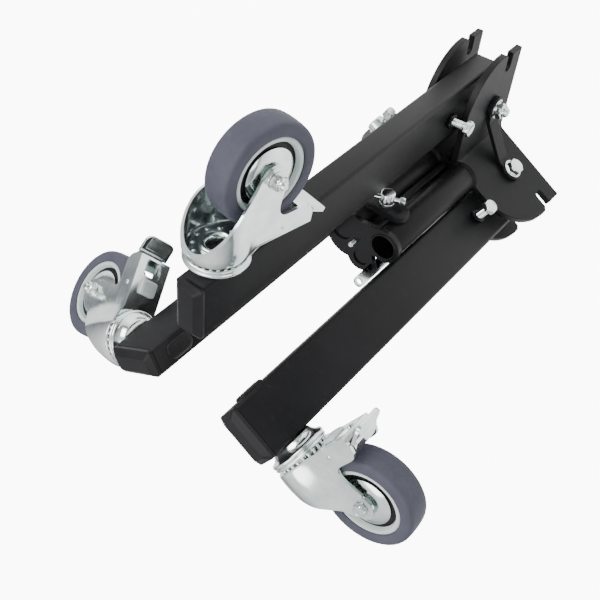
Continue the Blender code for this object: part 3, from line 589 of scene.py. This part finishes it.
for number, turn in arm_turns.items():
    add_piece(f"drawn_arm_tube_{number}",
              skin([arm_loop(ARM_EASE, arm_low.z), arm_loop(0.0, arm_low.z + ARM_EASE),
                    arm_loop(0.0, arm_high.z - ARM_EASE), arm_loop(ARM_EASE, arm_high.z),
                    arm_loop(ARM_WALL, arm_high.z), arm_loop(ARM_WALL, arm_low.z)], joined=True),
              powder_coat, f"arm_{number}", [f"arm_tube_{number}"], turn, sharp=50.0)

# ---- Arm end caps -------------------------------------------------------------------
# Black moulded plastic plugs pushed into the arms' open ends: a flat lip, four sloped
# sides and a small flat crown, all with soft edges and a fine moulded grain.
CAP_GAP = 0.0003
CAP_LIP = 0.0038
CAP_RISE = 0.0052
CAP_SLOPE = 0.0068
CAP_SPIGOT = 0.012

black_plastic = finish_of("black_moulded_plastic", (0.004, 0.004, 0.005),
                          (0.008, 0.008, 0.009), (0.03, 0.03, 0.033), (40.0, 2400.0, 120.0),
                          (0.36, 0.50), 0.0, (0.35, 0.00015), 0.25)
for number, turn in arm_turns.items():
    seat = arm_high.z + CAP_GAP
    inner = ARM_WALL + 0.0004
    add_piece(f"moulded_arm_cap_{number}",
              skin([arm_loop(inner, arm_high.z - CAP_SPIGOT), arm_loop(inner, seat),
                    arm_loop(0.0002, seat), arm_loop(0.0, seat + 0.0004),
                    arm_loop(0.0, seat + CAP_LIP), arm_loop(0.0007, seat + CAP_LIP + 0.0004),
                    arm_loop(CAP_SLOPE - 0.0008, seat + CAP_LIP + CAP_RISE - 0.0005, 0.009),
                    arm_loop(CAP_SLOPE, seat + CAP_LIP + CAP_RISE, 0.009)]),
              black_plastic, f"arm_{number}", [f"arm_cap_{number}"], turn,
              bevel=0.0004, sharp=25.0)

# ---- Access plugs -------------------------------------------------------------------
# A soft black plug with a domed oblong head closes the hole in each arm's inner face
# through which the caster is bolted on.
PLUG_SIZE = (0.034, 0.019)
PLUG_PROUD = 0.0032
swivel_height = joints["caster_swivel_1"]["pos_m"][2]
for number, turn in arm_turns.items():
    plug_loops = [rounded_loop(PLUG_SIZE[0] - 2 * inset, PLUG_SIZE[1] - 2 * inset,
                               PLUG_SIZE[1] / 2 - 0.0006 - inset, height, steps=8)
                  for inset, height in ((0.0026, ARM_WALL), (0.0024, -0.0002), (0.0, -0.0002),
                                        (0.0, -0.0009), (0.0006, -0.0021), (0.0019, -0.0029),
                                        (0.0045, -PLUG_PROUD))]
    plug_place = turn @ axis_frame((0, arm_low.y, swivel_height), (0, 1, 0), (0, 0, 1))
    add_piece(f"rubber_access_plug_{number}", skin(plug_loops), black_plastic, f"arm_{number}",
              [f"arm_plug_{number}"], plug_place)

# ---- Stop bolts ---------------------------------------------------------------------
# An M10 set screw through each arm, threaded all the way to its head, which meets the
# slots when the arm is down. A zinc nut locks it on the far face, and a thin dark nut
# sits against the near one.
STOP_SHANK = 0.005
STOP_HEX = 0.016
STOP_HEAD = 0.0064
STOP_NUT = 0.008
STOP_TAIL = 0.0034
STOP_COLLAR = 0.006
STOP_GAP = 0.0003

gloss_black = finish_of("gloss_black_enamel", (0.003, 0.003, 0.004),
                        (0.006, 0.006, 0.007), (0.06, 0.06, 0.06), (30.0, 700.0, 90.0),
                        (0.20, 0.32), 0.0, (0.18, 0.0002), 0.3)
stop_side = {1: 1.0, 2: -1.0, 3: -1.0}
for number, turn in arm_turns.items():
    side = stop_side[number]
    low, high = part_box("stop_bolt_1")
    stop_centre = Vector((0, (low.y + high.y) / 2, (low.z + high.z) / 2))
    reach = high.x - STOP_HEAD
    tail = arm_size.x / 2 + STOP_NUT + STOP_TAIL
    head_end = turn @ axis_frame(stop_centre, (side, 0, 0), (0, 0, 1))
    nut_end = turn @ axis_frame(stop_centre, (-side, 0, 0), (0, 0, 1))
    shank = turned([(0.0008, -tail), (STOP_SHANK * 0.78, -tail),
                    *thread_profile(STOP_SHANK, 0.001 - tail, reach, 0.0015)], HEX_STEPS)
    add_piece(f"set_screw_{number}", join(shank, hex_head(STOP_HEX, STOP_HEAD, reach)),
              zinc_plate, f"arm_{number}", [f"stop_bolt_{number}"], head_end)
    add_piece(f"dark_stop_nut_{number}",
              lock_nut(STOP_HEX, STOP_COLLAR, STOP_SHANK, arm_size.x / 2 + STOP_GAP), gloss_black,
              f"arm_{number}", place=head_end)
    add_piece(f"screw_lock_nut_{number}",
              lock_nut(STOP_HEX, STOP_NUT, STOP_SHANK, arm_size.x / 2 + STOP_GAP), zinc_plate,
              f"arm_{number}", [f"stop_nut_{number}"], nut_end)

# ---- Column tubes -------------------------------------------------------------------
# Two round tubes stand on the hub side by side with a flat bar between them. A rolled
# collar of weld closes the foot of each.
COLUMN_WALL = 0.0025
FOOT_FILLET = 0.003
for name in ("main_tube", "second_tube"):
    low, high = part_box(name)
    radius = (high.x - low.x) / 2
    centre = Matrix.Translation(((low.x + high.x) / 2, (low.y + high.y) / 2, 0))
    add_piece(f"round_{name}",
              turned([(radius - 0.0012, low.z), (radius - 0.0003, low.z + 0.0006),
                      (radius, low.z + 0.002), (radius, high.z - 0.0006),
                      (radius - 0.0006, high.z),
                      (radius - COLUMN_WALL, high.z), (radius - COLUMN_WALL, low.z)], joined=True),
              powder_coat, "hub", [name], centre, sharp=50.0)
    bead_radius = radius + FOOT_FILLET
    bead = [(radius + 0.0001, low.z - 0.0002), (bead_radius, low.z - 0.0002),
            (bead_radius - 0.0006, low.z + 0.001), (radius + 0.001, low.z + 0.0024),
            (radius + 0.0001, low.z + 0.0042)]
    add_piece(f"foot_weld_of_{name}", turned(bead, joined=True), powder_coat, "hub",
              place=centre, sharp=60.0)
bar_low, bar_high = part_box("web_bar")
bar_size = bar_high - bar_low
bar_centre = (bar_low + bar_high) / 2
add_piece("flat_web_bar",
          skin([rounded_loop(bar_size.x, bar_size.y, 0.0012, z, bar_centre.xy)
                for z in (bar_low.z, bar_high.z)]), powder_coat, "hub", ["web_bar"], bevel=0.0004)

# ---- End plate ----------------------------------------------------------------------
# A 6 mm lobed plate closes the column, welded on and coated gloss black. The main
# tube's bore runs through it inside a raised ring, and a plated stud stands beside it.
end_low, end_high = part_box("end_plate")
tube_low, tube_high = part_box("main_tube")
main_centre = ((tube_low + tube_high) / 2).xy
main_radius = (tube_high.x - tube_low.x) / 2
MAIN_LOBE = 0.020
END_DISC = (Vector((-0.005, -0.005)), 0.029)
LOW_LOBE = (Vector((0.014, -0.027)), 0.017)


def as_object(bm):
    bmesh.ops.recalc_face_normals(bm, faces=bm.faces)
    made = bpy.data.objects.new("tool", mesh_of("tool", bm))
    scene.collection.objects.link(made)
    return made


def shaped(base, *changes):
    """Apply cuts and joins, each (mesh, operation), and give back the changed mesh."""
    body = as_object(base)
    for tool_mesh, operation in changes:
        tool = as_object(tool_mesh)
        change = body.modifiers.new("change", "BOOLEAN")
        change.operation = operation
        change.solver = "EXACT"
        change.object = tool
        bpy.context.view_layer.update()
        ready = body.evaluated_get(bpy.context.evaluated_depsgraph_get())
        mesh = bpy.data.meshes.new_from_object(ready)
        body.modifiers.clear()
        body.data = mesh
        bpy.data.objects.remove(tool)
    bm = bmesh.new()
    bm.from_mesh(body.data)
    bpy.data.objects.remove(body)
    return bm


def disc(centre, radius, low, high, steps=72):
    return skin([[(centre[0] + x, centre[1] + y, z) for x, y, z in circle_loop(radius, z, steps)]
                 for z in (low, high)])


link = [END_DISC[0] + Vector((0, 0.0245)), END_DISC[0] - Vector((0, 0.0145)),
        main_centre - Vector((0, 0.018)), main_centre + Vector((0, 0.0195))]
link_mesh = skin([[(point.x, point.y, z) for point in link] for z in (end_low.z, end_high.z)])
plate_mesh = shaped(disc(END_DISC[0], END_DISC[1], end_low.z, end_high.z),
                    (link_mesh, "UNION"),
                    (disc(main_centre, MAIN_LOBE, end_low.z, end_high.z), "UNION"),
                    (disc(LOW_LOBE[0], LOW_LOBE[1], end_low.z, end_high.z), "UNION"),
                    (disc(main_centre, main_radius - 0.0035, end_low.z - 0.01, end_high.z + 0.01),
                     "DIFFERENCE"),
                    (disc(END_DISC[0] + Vector((-0.009, 0.002)), 0.0125, end_high.z - 0.0022,
                          end_high.z + 0.01), "DIFFERENCE"),
                    (disc(LOW_LOBE[0] + Vector((0.001, 0.0)), 0.0095, end_high.z - 0.0018,
                          end_high.z + 0.01), "DIFFERENCE"))
add_piece("lobed_end_plate", plate_mesh, gloss_black, "hub",
          ["end_plate"], bevel=0.0008, sharp=30.0)
ring = [(main_radius - 0.0034, -0.0002), (main_radius - 0.001, -0.0002),
        (main_radius - 0.0013, 0.0006), (main_radius - 0.0024, 0.0010),
        (main_radius - 0.0034, 0.0006)]
add_piece("bore_ring", turned([(r, end_high.z + z) for r, z in ring], joined=True), gloss_black,
          "hub", place=Matrix.Translation((*main_centre, 0)), sharp=50.0)
STUD_PLACE = (0.004, -0.010)
STUD_RADIUS = 0.0030
stud = turned([(0.0006, end_high.z - 0.004), (STUD_RADIUS, end_high.z - 0.004),
               *thread_profile(STUD_RADIUS, end_high.z - 0.002, end_high.z + 0.0075, 0.0011),
               (STUD_RADIUS * 0.7, end_high.z + 0.0085), (0.0006, end_high.z + 0.0086)], 32)
add_piece("plated_stud", stud, zinc_plate, "hub",
          place=Matrix.Translation((*STUD_PLACE, 0)))

# ---- Clamp --------------------------------------------------------------------------
# A black two-layer pad lies across both tubes. A zinc plated T-screw passes through it,
# turned by a tommy bar that slides in its round head and has a hexagonal end.
clamp_low, clamp_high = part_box("clamp_pad")
clamp_size = clamp_high - clamp_low
screw_joint = joints["clamp_screw_turn"]
screw_place = Vector(screw_joint["pos_m"])
clamp_place = axis_frame((screw_place.x, clamp_low.y, screw_place.z), (0, 1, 0), (1, 0, 0))


def clamp_loop(inset, height):
    return rounded_loop(clamp_size.x - 2 * inset, clamp_size.z - 2 * inset,
                        clamp_size.z / 2 - 0.0006 - inset, height, steps=12)


add_piece("two_layer_clamp_pad",
          skin([clamp_loop(0.0008, 0.0), clamp_loop(0.0, 0.0006), clamp_loop(0.0, 0.0040),
                clamp_loop(0.0008, 0.0046), clamp_loop(0.0008, 0.0050), clamp_loop(0.0001, 0.0055),
                clamp_loop(0.0001, 0.0070), clamp_loop(0.0012, clamp_size.y - 0.0002),
                clamp_loop(0.0020, clamp_size.y)]),
          black_plastic, "hub", ["clamp_pad"], clamp_place, sharp=28.0)
screw_frame = axis_frame(screw_place, screw_joint["axis"], (1, 0, 0))
slide_axis = Vector(joints["tommy_bar_slide"]["axis"])
_, screw_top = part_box("clamp_screw")
head_top = screw_top.y - screw_place.y
HEAD_RADIUS = 0.008
BAR_RADIUS = 0.0025
BAR_ENDS = (-0.0205, 0.0135)
BAR_HEX = 0.009
BAR_HEX_LENGTH = 0.006
bar_height = head_top / 2
bar_frame = axis_frame(screw_place + Vector(screw_joint["axis"]) * bar_height, slide_axis,
                       screw_joint["axis"])
head_bm = turned([(0.0006, -0.007), (0.0045, -0.007), (0.005, -0.0062), (0.005, 0.0005),
                  (HEAD_RADIUS, 0.0005), (HEAD_RADIUS, head_top * 0.22),
                  (HEAD_RADIUS - 0.0004, head_top * 0.25), (HEAD_RADIUS, head_top * 0.28),
                  (HEAD_RADIUS, head_top - 0.0016), (HEAD_RADIUS - 0.0005, head_top - 0.0006),
                  (HEAD_RADIUS - 0.0016, head_top), (0.0006, head_top - 0.0004)], 64)
bmesh.ops.transform(head_bm, matrix=screw_frame, verts=head_bm.verts)
hole_bm = disc((0, 0), BAR_RADIUS + 0.0005, -0.02, 0.02, 32)
bmesh.ops.transform(hole_bm, matrix=bar_frame, verts=hole_bm.verts)
add_piece("round_headed_clamp_screw", shaped(head_bm, (hole_bm, "DIFFERENCE")), zinc_plate,
          "clamp_screw_unit", ["clamp_screw"], bevel=0.0003)
bar_bm = join(turned([(0.0005, BAR_ENDS[0]), (BAR_RADIUS * 0.7, BAR_ENDS[0] + 0.0001),
                      (BAR_RADIUS, BAR_ENDS[0] + 0.0009), (BAR_RADIUS, BAR_ENDS[1] + 0.001),
                      (0.0005, BAR_ENDS[1] + 0.001)], 40),
              hex_head(BAR_HEX, BAR_HEX_LENGTH, BAR_ENDS[1]))
add_piece("sliding_tommy_bar", bar_bm, zinc_plate, "tommy_bar_unit",
          ["tommy_bar"], bar_frame)

# ---- Latch strap and rear screw -----------------------------------------------------
# A plated flat strap with a hole near its round top stands inside the third arm. A
# second T-screw, in a black boss on the thinner tube, reaches out between the first two.
coat("latch_strap", zinc_plate)
REAR_HEADING = math.radians(152)
REAR_HEIGHT = 0.134
REAR_ROOT = 0.0215
REAR_BOSS = (0.0056, 0.0088, 0.0295)
REAR_HEAD = 0.071
REAR_RADIUS = 0.0105
REAR_HEAD_LENGTH = 0.0145
REAR_BAR = 0.007
rear_way = Vector((math.cos(REAR_HEADING), math.sin(REAR_HEADING), 0))
rear_frame = axis_frame(Vector((0, 0, REAR_HEIGHT)), rear_way, (0, 0, 1))
rear_bm = turned([(0.0006, REAR_ROOT), (0.0048, REAR_ROOT),
                  *thread_profile(0.005, REAR_ROOT + 0.001, REAR_HEAD - 0.002, 0.0015),
                  (REAR_RADIUS - 0.0008, REAR_HEAD), (REAR_RADIUS, REAR_HEAD + 0.001),
                  (REAR_RADIUS, REAR_HEAD + 0.013),
                  (REAR_RADIUS - 0.0015, REAR_HEAD + REAR_HEAD_LENGTH),
                  (0.0006, REAR_HEAD + REAR_HEAD_LENGTH)], 64)
add_piece("rear_clamp_screw", rear_bm, zinc_plate, "hub", place=rear_frame)
boss_bore, boss_radius, boss_end = REAR_BOSS
add_piece("rear_screw_boss",
          turned([(boss_bore, REAR_ROOT), (boss_radius, REAR_ROOT),
                  (boss_radius, boss_end - 0.001), (boss_radius - 0.001, boss_end),
                  (boss_bore, boss_end)], 48, joined=True), powder_coat, "hub", place=rear_frame)
rear_bar = join(turned([(0.0005, -0.015), (BAR_RADIUS, -0.0149), (BAR_RADIUS, 0.021),
                        (0.0005, 0.021)], 40), hex_head(0.011, 0.012, 0.019))
rear_across = Vector((-rear_way.y, rear_way.x, 0))
rear_bar_frame = axis_frame(rear_way * (REAR_HEAD + REAR_BAR) + Vector((0, 0, REAR_HEIGHT)),
                            -rear_across, (0, 0, 1))
add_piece("rear_tommy_bar", rear_bar, zinc_plate, "hub", place=rear_bar_frame)

# ---- Caster heads -------------------------------------------------------------------
# Pressed and rolled heads bolted to the arms: a low dome against the arm, a rolled
# flange over the ball race, and a hollow kingpin whose lip is rolled over the fork.
KINGPIN_BORE = 0.0095
KINGPIN_RADIUS = 0.013
LIP_RADIUS = 0.016
FLANGE_RADIUS = 0.0305
BALL_RADIUS = 0.0019
BALL_COUNT = 26
RACE_RADIUS = 0.0264
RACE_HEIGHT = 0.0181


def caster_frame(number):
    """Caster's own space: X along the trail, Y along the axle, Z out of the arm."""
    swivel = joints[f"caster_swivel_{number}"]
    out = Vector(swivel["axis"])
    axle = Vector(joints[f"wheel_spin_{number}"]["axis"])
    trail = axle.cross(out)
    return (Matrix.Translation(Vector(swivel["pos_m"]))
            @ Matrix((trail, axle, out)).transposed().to_4x4())


head_profile = [(KINGPIN_BORE, 0.0004), (0.0208, 0.0004), (0.0218, 0.0012), (0.0226, 0.0034),
                (0.0240, 0.0056), (0.0262, 0.0078), (0.0288, 0.0089), (0.0299, 0.0094),
                (FLANGE_RADIUS, 0.0106), (FLANGE_RADIUS, 0.0122), (0.0298, 0.0132),
                (0.0293, 0.0138), (0.0299, 0.0144), (0.0302, 0.0156), (0.0296, 0.0166),
                (0.0284, 0.0170), (0.0262, 0.0168), (0.0252, 0.0160), (0.0215, 0.0160),
                (0.0200, 0.0170), (KINGPIN_RADIUS, 0.0170), (KINGPIN_RADIUS, 0.0225),
                (0.0150, 0.0225), (LIP_RADIUS, 0.0232), (LIP_RADIUS, 0.0246), (0.0150, 0.0258),
                (0.0135, 0.0260), (0.0118, 0.0254), (0.0104, 0.0236), (KINGPIN_BORE, 0.0212)]
frames = {number: caster_frame(number) for number in (1, 2, 3)}
for number, place in frames.items():
    add_piece(f"rolled_caster_head_{number}", turned(head_profile, joined=True), zinc_plate,
              f"arm_{number}", [f"caster_head_{number}"], place, sharp=50.0)
    balls = bmesh.new()
    for index in range(BALL_COUNT):
        angle = 2 * math.pi * index / BALL_COUNT
        at = Matrix.Translation((RACE_RADIUS * math.cos(angle), RACE_RADIUS * math.sin(angle),
                                 RACE_HEIGHT))
        bmesh.ops.create_uvsphere(balls, u_segments=16, v_segments=10, radius=BALL_RADIUS,
                                  matrix=at)
    add_piece(f"race_balls_{number}", balls, zinc_plate, f"arm_{number}",
              place=place, sharp=180.0)

# ---- Forks --------------------------------------------------------------------------
# One piece of 3 mm steel, pressed to a cup over the ball race whose walls run out into
# two cheeks round the axle. A web with a window joins the cheeks behind the wheel.
FORK_GAUGE = 0.003
CROWN_START = 0.0192
CHEEK_OUTER = 0.0205
FORK_END = 0.090
CHEEK_BOSS = 0.013
FRONT_SHAPE = ((0.0, 0.0292), (0.0008, 0.0303), (0.0024, 0.0310), (0.009, 0.0314),
               (0.018, 0.0314), (0.030, 0.0304), (0.042, 0.0286), (0.055, 0.0262),
               (0.068, 0.0234), (0.080, 0.0208))
CHEEK_FRONT = ((-36, 24), (-31, 26), (-27, 31), (-21, 40), (-13, 50), (-4, 60), (7, 69), (19, 78),
               (30, 90))
CHEEK_BACK = ((56.5, 74), (53.5, 64), (51, 54), (51.5, 47), (55, 42.5), (61, 41), (78, 41),
              (84, 39.5), (88, 35), (90, 28))
WINDOW = (0.018, 0.022, 0.003)
WINDOW_PLACE = 0.077
DIMPLE_COUNT = 12
DIMPLE_RING = 0.0215
DIMPLE_RADIUS = 0.0026
DIMPLE_SINK = 0.0004
PIP_PLACE = (0.056, 0.0285)
PIP_RADIUS = 0.0024
axle_place = frames[1].inverted() @ Vector(joints["wheel_spin_1"]["pos_m"])


def fork_plan(front, inset, end, height):
    """Plan at one height: a round front that runs into two straight cheeks."""
    cheek = CHEEK_OUTER - inset
    flat = axle_place.x - CHEEK_BOSS
    radius = front - inset
    touch = math.atan2(cheek, flat) + math.acos(radius / math.hypot(flat, cheek))
    points = [(x, y, height) for x, y in
              arc_points((0, 0), radius, math.degrees(touch), 360 - math.degrees(touch), 40)]
    return points + [(flat, -cheek, height), (end, -cheek, height), (end, cheek, height),
                     (flat, cheek, height)]


def smooth_line(points, steps=5):
    """Points along a soft curve through the given ones."""
    ends = [points[0], *points, points[-1]]
    line = []
    for a, b, c, d in zip(ends, ends[1:], ends[2:], ends[3:]):
        for step in range(steps):
            t = step / steps
            line.append(tuple(0.5 * (2 * q + (r - p) * t + (2 * p - 5 * q + 4 * r - s) * t * t
                                     + (3 * q - p - 3 * r + s) * t ** 3)
                              for p, q, r, s in zip(a, b, c, d)))
    return line + [points[-1]]


def side_prism(outline, half):
    return skin([[(x, y, z) for x, z in outline] for y in (-half, half)])


def fork_mesh():
    outside = skin([fork_plan(radius, 0.0, FORK_END, CROWN_START + height)
                    for height, radius in FRONT_SHAPE])
    inside = skin([fork_plan(radius, FORK_GAUGE, FORK_END + 0.004,
                             CROWN_START + FORK_GAUGE + height) for height, radius in FRONT_SHAPE])
    front = [(x * 0.001, z * 0.001) for x, z in smooth_line(CHEEK_FRONT)]
    back = [(x * 0.001, z * 0.001) for x, z in smooth_line(CHEEK_BACK)]
    boss = arc_points((axle_place.x, axle_place.z), CHEEK_BOSS, 140, -38, 20)
    outline = [(-0.036, 0.015), *front, *boss, *back, (FORK_END - 0.002, 0.015)]
    window = skin([rounded_loop(*WINDOW, z, (WINDOW_PLACE, 0.0)) for z in (0.012, 0.030)])
    return shaped(outside, (inside, "DIFFERENCE"), (side_prism(outline, 0.05), "INTERSECT"),
                  (disc((0, 0), KINGPIN_RADIUS + 0.0004, 0.01, 0.03), "DIFFERENCE"),
                  (window, "DIFFERENCE"))


for number, place in frames.items():
    add_piece(f"pressed_fork_{number}", fork_mesh(), zinc_plate, f"caster_fork_{number}",
              [f"fork_{number}"], place, bevel=0.0009, sharp=28.0)
    dimples = bmesh.new()
    for index in range(DIMPLE_COUNT):
        angle = 2 * math.pi * (index + 0.5) / DIMPLE_COUNT
        at = Matrix.Translation((DIMPLE_RING * math.cos(angle), DIMPLE_RING * math.sin(angle),
                                 CROWN_START + FORK_GAUGE - DIMPLE_SINK))
        bmesh.ops.create_uvsphere(dimples, u_segments=16, v_segments=8, radius=DIMPLE_RADIUS,
                                  matrix=at @ Matrix.Diagonal((1, 1, 0.6, 1)))
    add_piece(f"crown_dimples_{number}", dimples, zinc_plate, f"caster_fork_{number}",
              place=place, sharp=180.0)
    pips = bmesh.new()
    for side in (-1, 1):
        at = Matrix.Translation((PIP_PLACE[0], side * CHEEK_OUTER, PIP_PLACE[1]))
        bmesh.ops.create_uvsphere(pips, u_segments=20, v_segments=12, radius=PIP_RADIUS,
                                  matrix=at @ Matrix.Diagonal((1, 0.4, 1, 1)))
    add_piece(f"rivet_pips_{number}", pips, zinc_plate, f"caster_fork_{number}",
              place=place, sharp=180.0)

# ---- Release pads -------------------------------------------------------------------
# A pale moulded pad with fine ribs pokes through the web on each fork, in front of the
# window: pressed, it lets the brake pedal spring back.
RELEASE_SIZE = (0.017, 0.020, 0.003)
RELEASE_PLACE = 0.056
RELEASE_RIBS = 6

grey_plastic = finish_of("light_grey_plastic", (0.45, 0.53, 0.52),
                         (0.55, 0.62, 0.60), (0.34, 0.38, 0.38), (35.0, 1600.0, 90.0),
                         (0.36, 0.46), 0.0, (0.2, 0.00012), 0.3)
for number, place in frames.items():
    pad = skin([rounded_loop(RELEASE_SIZE[0] - 2 * inset, RELEASE_SIZE[1] - 2 * inset,
                             RELEASE_SIZE[2], z, (RELEASE_PLACE, 0.0))
                for inset, z in ((0.0, CROWN_START - 0.0002), (0.0, CROWN_START - 0.0026),
                                 (0.0010, CROWN_START - 0.0034))])
    for rib in range(RELEASE_RIBS):
        x = RELEASE_PLACE + (rib - (RELEASE_RIBS - 1) / 2) * 0.0022
        pad = join(pad, skin([rounded_loop(0.0011, 0.015, 0.0005, z, (x, 0.0), 3)
                              for z in (CROWN_START - 0.003, CROWN_START - 0.0041)]))
    add_piece(f"ribbed_release_pad_{number}", pad, grey_plastic, f"caster_fork_{number}",
              place=place, bevel=0.0002)

# ---- Brake pedals -------------------------------------------------------------------
# A bent steel lever hinged between the cheeks ends in a wide ribbed foot pad with round
# corners. Pressing it locks the wheel and the swivel together.
PEDAL_GAUGE = 0.0034
PEDAL_HALF = (0.0165, 0.019)
PAD_LINE = ((0.0095, -0.0055), (0.028, -0.0155))
PAD_CORNER = 0.008
PAD_RIBS = 9
for number, place in frames.items():
    pin = place.inverted() @ Vector(joints[f"brake_press_{number}"]["pos_m"])
    lever_line = [(-5, 2), (0, 2.2), (4, 1), (8, -2), (10.5, -3.4), (14, -5.5)]
    under = [(pin.x + x * 0.001, pin.z + z * 0.001) for x, z in lever_line]
    lever = side_prism(under + [(x, z + PEDAL_GAUGE) for x, z in reversed(under)], PEDAL_HALF[0])
    (x0, z0), (x1, z1) = PAD_LINE
    length = math.hypot(x1 - x0, z1 - z0)
    tilt = math.atan2(z1 - z0, x1 - x0)
    blank = [(0.0, -PEDAL_HALF[1]), *arc_points((length - PAD_CORNER, PAD_CORNER - PEDAL_HALF[1]),
                                                PAD_CORNER, -90, 0, 8),
             *arc_points((length - PAD_CORNER, PEDAL_HALF[1] - PAD_CORNER), PAD_CORNER, 0, 90, 8),
             (0.0, PEDAL_HALF[1])]
    pad = skin([[(x, y, z + 0.0008 * math.sin(math.pi * x / length)) for x, y in blank]
                for z in (0.0, PEDAL_GAUGE)])
    for rib in range(PAD_RIBS):
        x = length * 0.28 + (length * 0.64) * rib / (PAD_RIBS - 1)
        pad = join(pad, skin([rounded_loop(0.0008, 0.028, 0.0003, z, (x, 0.0), 2)
                              for z in (0.0004, -0.0005)]))
    pad_frame = (Matrix.Translation((pin.x + x0, 0, pin.z + z0))
                 @ Matrix.Rotation(-tilt, 4, "Y"))
    bmesh.ops.transform(pad, matrix=pad_frame, verts=pad.verts)
    add_piece(f"ribbed_brake_pedal_{number}", join(lever, pad), zinc_plate,
              f"caster_pedal_{number}", [f"brake_pedal_{number}"], place,
              bevel=0.0005, sharp=30.0)

# ---- Wheels -------------------------------------------------------------------------
# A light grey nylon centre carries a grey non-marking rubber tyre with round shoulders
# and a faint moulding line. A domed, plated thread guard covers the bearing each side.
WHEEL_RADIUS = 0.050
GUARD_RADIUS = 0.0255


def mirrored(profile):
    return profile + [(radius, -height) for radius, height in reversed(profile)]


grey_rubber = finish_of("grey_tyre_rubber", (0.050, 0.052, 0.070),
                        (0.070, 0.072, 0.094), (0.115, 0.117, 0.135), (22.0, 1500.0, 45.0),
                        (0.50, 0.66), 0.0, (0.30, 0.00018), 0.35)
tyre_profile = mirrored([(0.0383, 0.011), (0.0364, 0.0136), (0.0372, 0.0147), (0.0392, 0.0150),
                         (0.0440, 0.01495), (0.0462, 0.0147), (0.0476, 0.0141),
                         (0.0486, 0.0131), (0.0491, 0.0118), (0.0495, 0.0096), (0.0498, 0.0062),
                         (0.0499, 0.0020), (0.04995, 0.0006), (WHEEL_RADIUS, 0.0002)])
rim_profile = mirrored([(0.0046, 0.0168), (0.0085, 0.0168), (0.0085, 0.0090), (0.0100, 0.0072),
                        (0.0290, 0.0066), (0.0304, 0.0080), (0.0318, 0.0126), (0.0324, 0.0134),
                        (0.0352, 0.0136), (0.0361, 0.0130), (0.0379, 0.0108)])
guard_profile = [(0.0052, 0.0146), (0.0100, 0.0146), (0.0180, 0.0139), (0.0232, 0.0128),
                 (GUARD_RADIUS, 0.0116), (GUARD_RADIUS, 0.0106), (0.0240, 0.0110),
                 (0.0180, 0.0130), (0.0052, 0.0138)]
# A black plastic seal ring sits in the rim groove each side; its black also paints the shade that
# falls in that groove.
seal_and_groove_shade_profile = [(0.0236, 0.0071), (0.0312, 0.0071), (0.0312, 0.0086), (0.0300, 0.0090),
                (0.0290, 0.0080), (0.0270, 0.0080), (0.0260, 0.0090), (0.0236, 0.0090)]
for number in (1, 2, 3):
    body = f"caster_wheel_{number}"
    place, other = both_ends(joints[f"wheel_spin_{number}"],
                             joints[f"caster_swivel_{number}"]["axis"])
    add_piece(f"rubber_tyre_{number}", turned(tyre_profile, 128, joined=True), grey_rubber, body,
              [f"tyre_{number}"], place, sharp=60.0)
    add_piece(f"nylon_wheel_centre_{number}", turned(rim_profile, 128, joined=True), grey_plastic,
              body, [f"wheel_rim_{number}"], place, sharp=45.0)
    for side, guard_place in (("a", place), ("b", other)):
        add_piece(f"thread_guard_{number}{side}", turned(guard_profile, joined=True), zinc_plate,
                  body, place=guard_place, sharp=50.0)
        # Seal ring, black partly as a real seal and partly as painted shade in the groove.
        add_piece(f"seal_and_groove_shade_{number}{side}", turned(seal_and_groove_shade_profile, joined=True),
                  black_plastic, body, place=guard_place, sharp=50.0)

# ---- Axles --------------------------------------------------------------------------
# An M8 bolt through each wheel. A washer and a lock nut close its far end, where a few
# turns of thread show.
AXLE_SHANK = 0.004
AXLE_HEX = 0.013
AXLE_HEAD = 0.0053
AXLE_NUT = 0.008
AXLE_TAIL = 0.0035
AXLE_GAP = 0.0003
AXLE_WASHER = (0.0082, 0.0013)
axle_seat = CHEEK_OUTER + AXLE_GAP
axle_washer_radius, axle_washer_gauge = AXLE_WASHER
for number in (1, 2, 3):
    head_end, nut_end = both_ends(joints[f"wheel_spin_{number}"],
                                  joints[f"caster_swivel_{number}"]["axis"])
    far = -axle_seat - AXLE_NUT - AXLE_TAIL
    shank = turned([(0.0006, far), (AXLE_SHANK * 0.75, far),
                    *thread_profile(AXLE_SHANK, far + 0.001, -axle_seat + 0.002, 0.00125),
                    (AXLE_SHANK, 0.0), (AXLE_SHANK, axle_seat)], HEX_STEPS)
    add_piece(f"hex_axle_bolt_{number}", join(shank, hex_head(AXLE_HEX, AXLE_HEAD, axle_seat)),
              zinc_plate, f"caster_fork_{number}", [f"axle_bolt_{number}"], head_end)
    add_piece(f"axle_washer_{number}", washer(axle_washer_radius, AXLE_SHANK * 1.05,
                                             axle_washer_gauge, axle_seat),
              zinc_plate, f"caster_fork_{number}", place=nut_end)
    add_piece(f"axle_lock_nut_{number}",
              lock_nut(AXLE_HEX, AXLE_NUT, AXLE_SHANK, axle_seat + axle_washer_gauge), zinc_plate,
              f"caster_fork_{number}", [f"axle_nut_{number}"], nut_end)
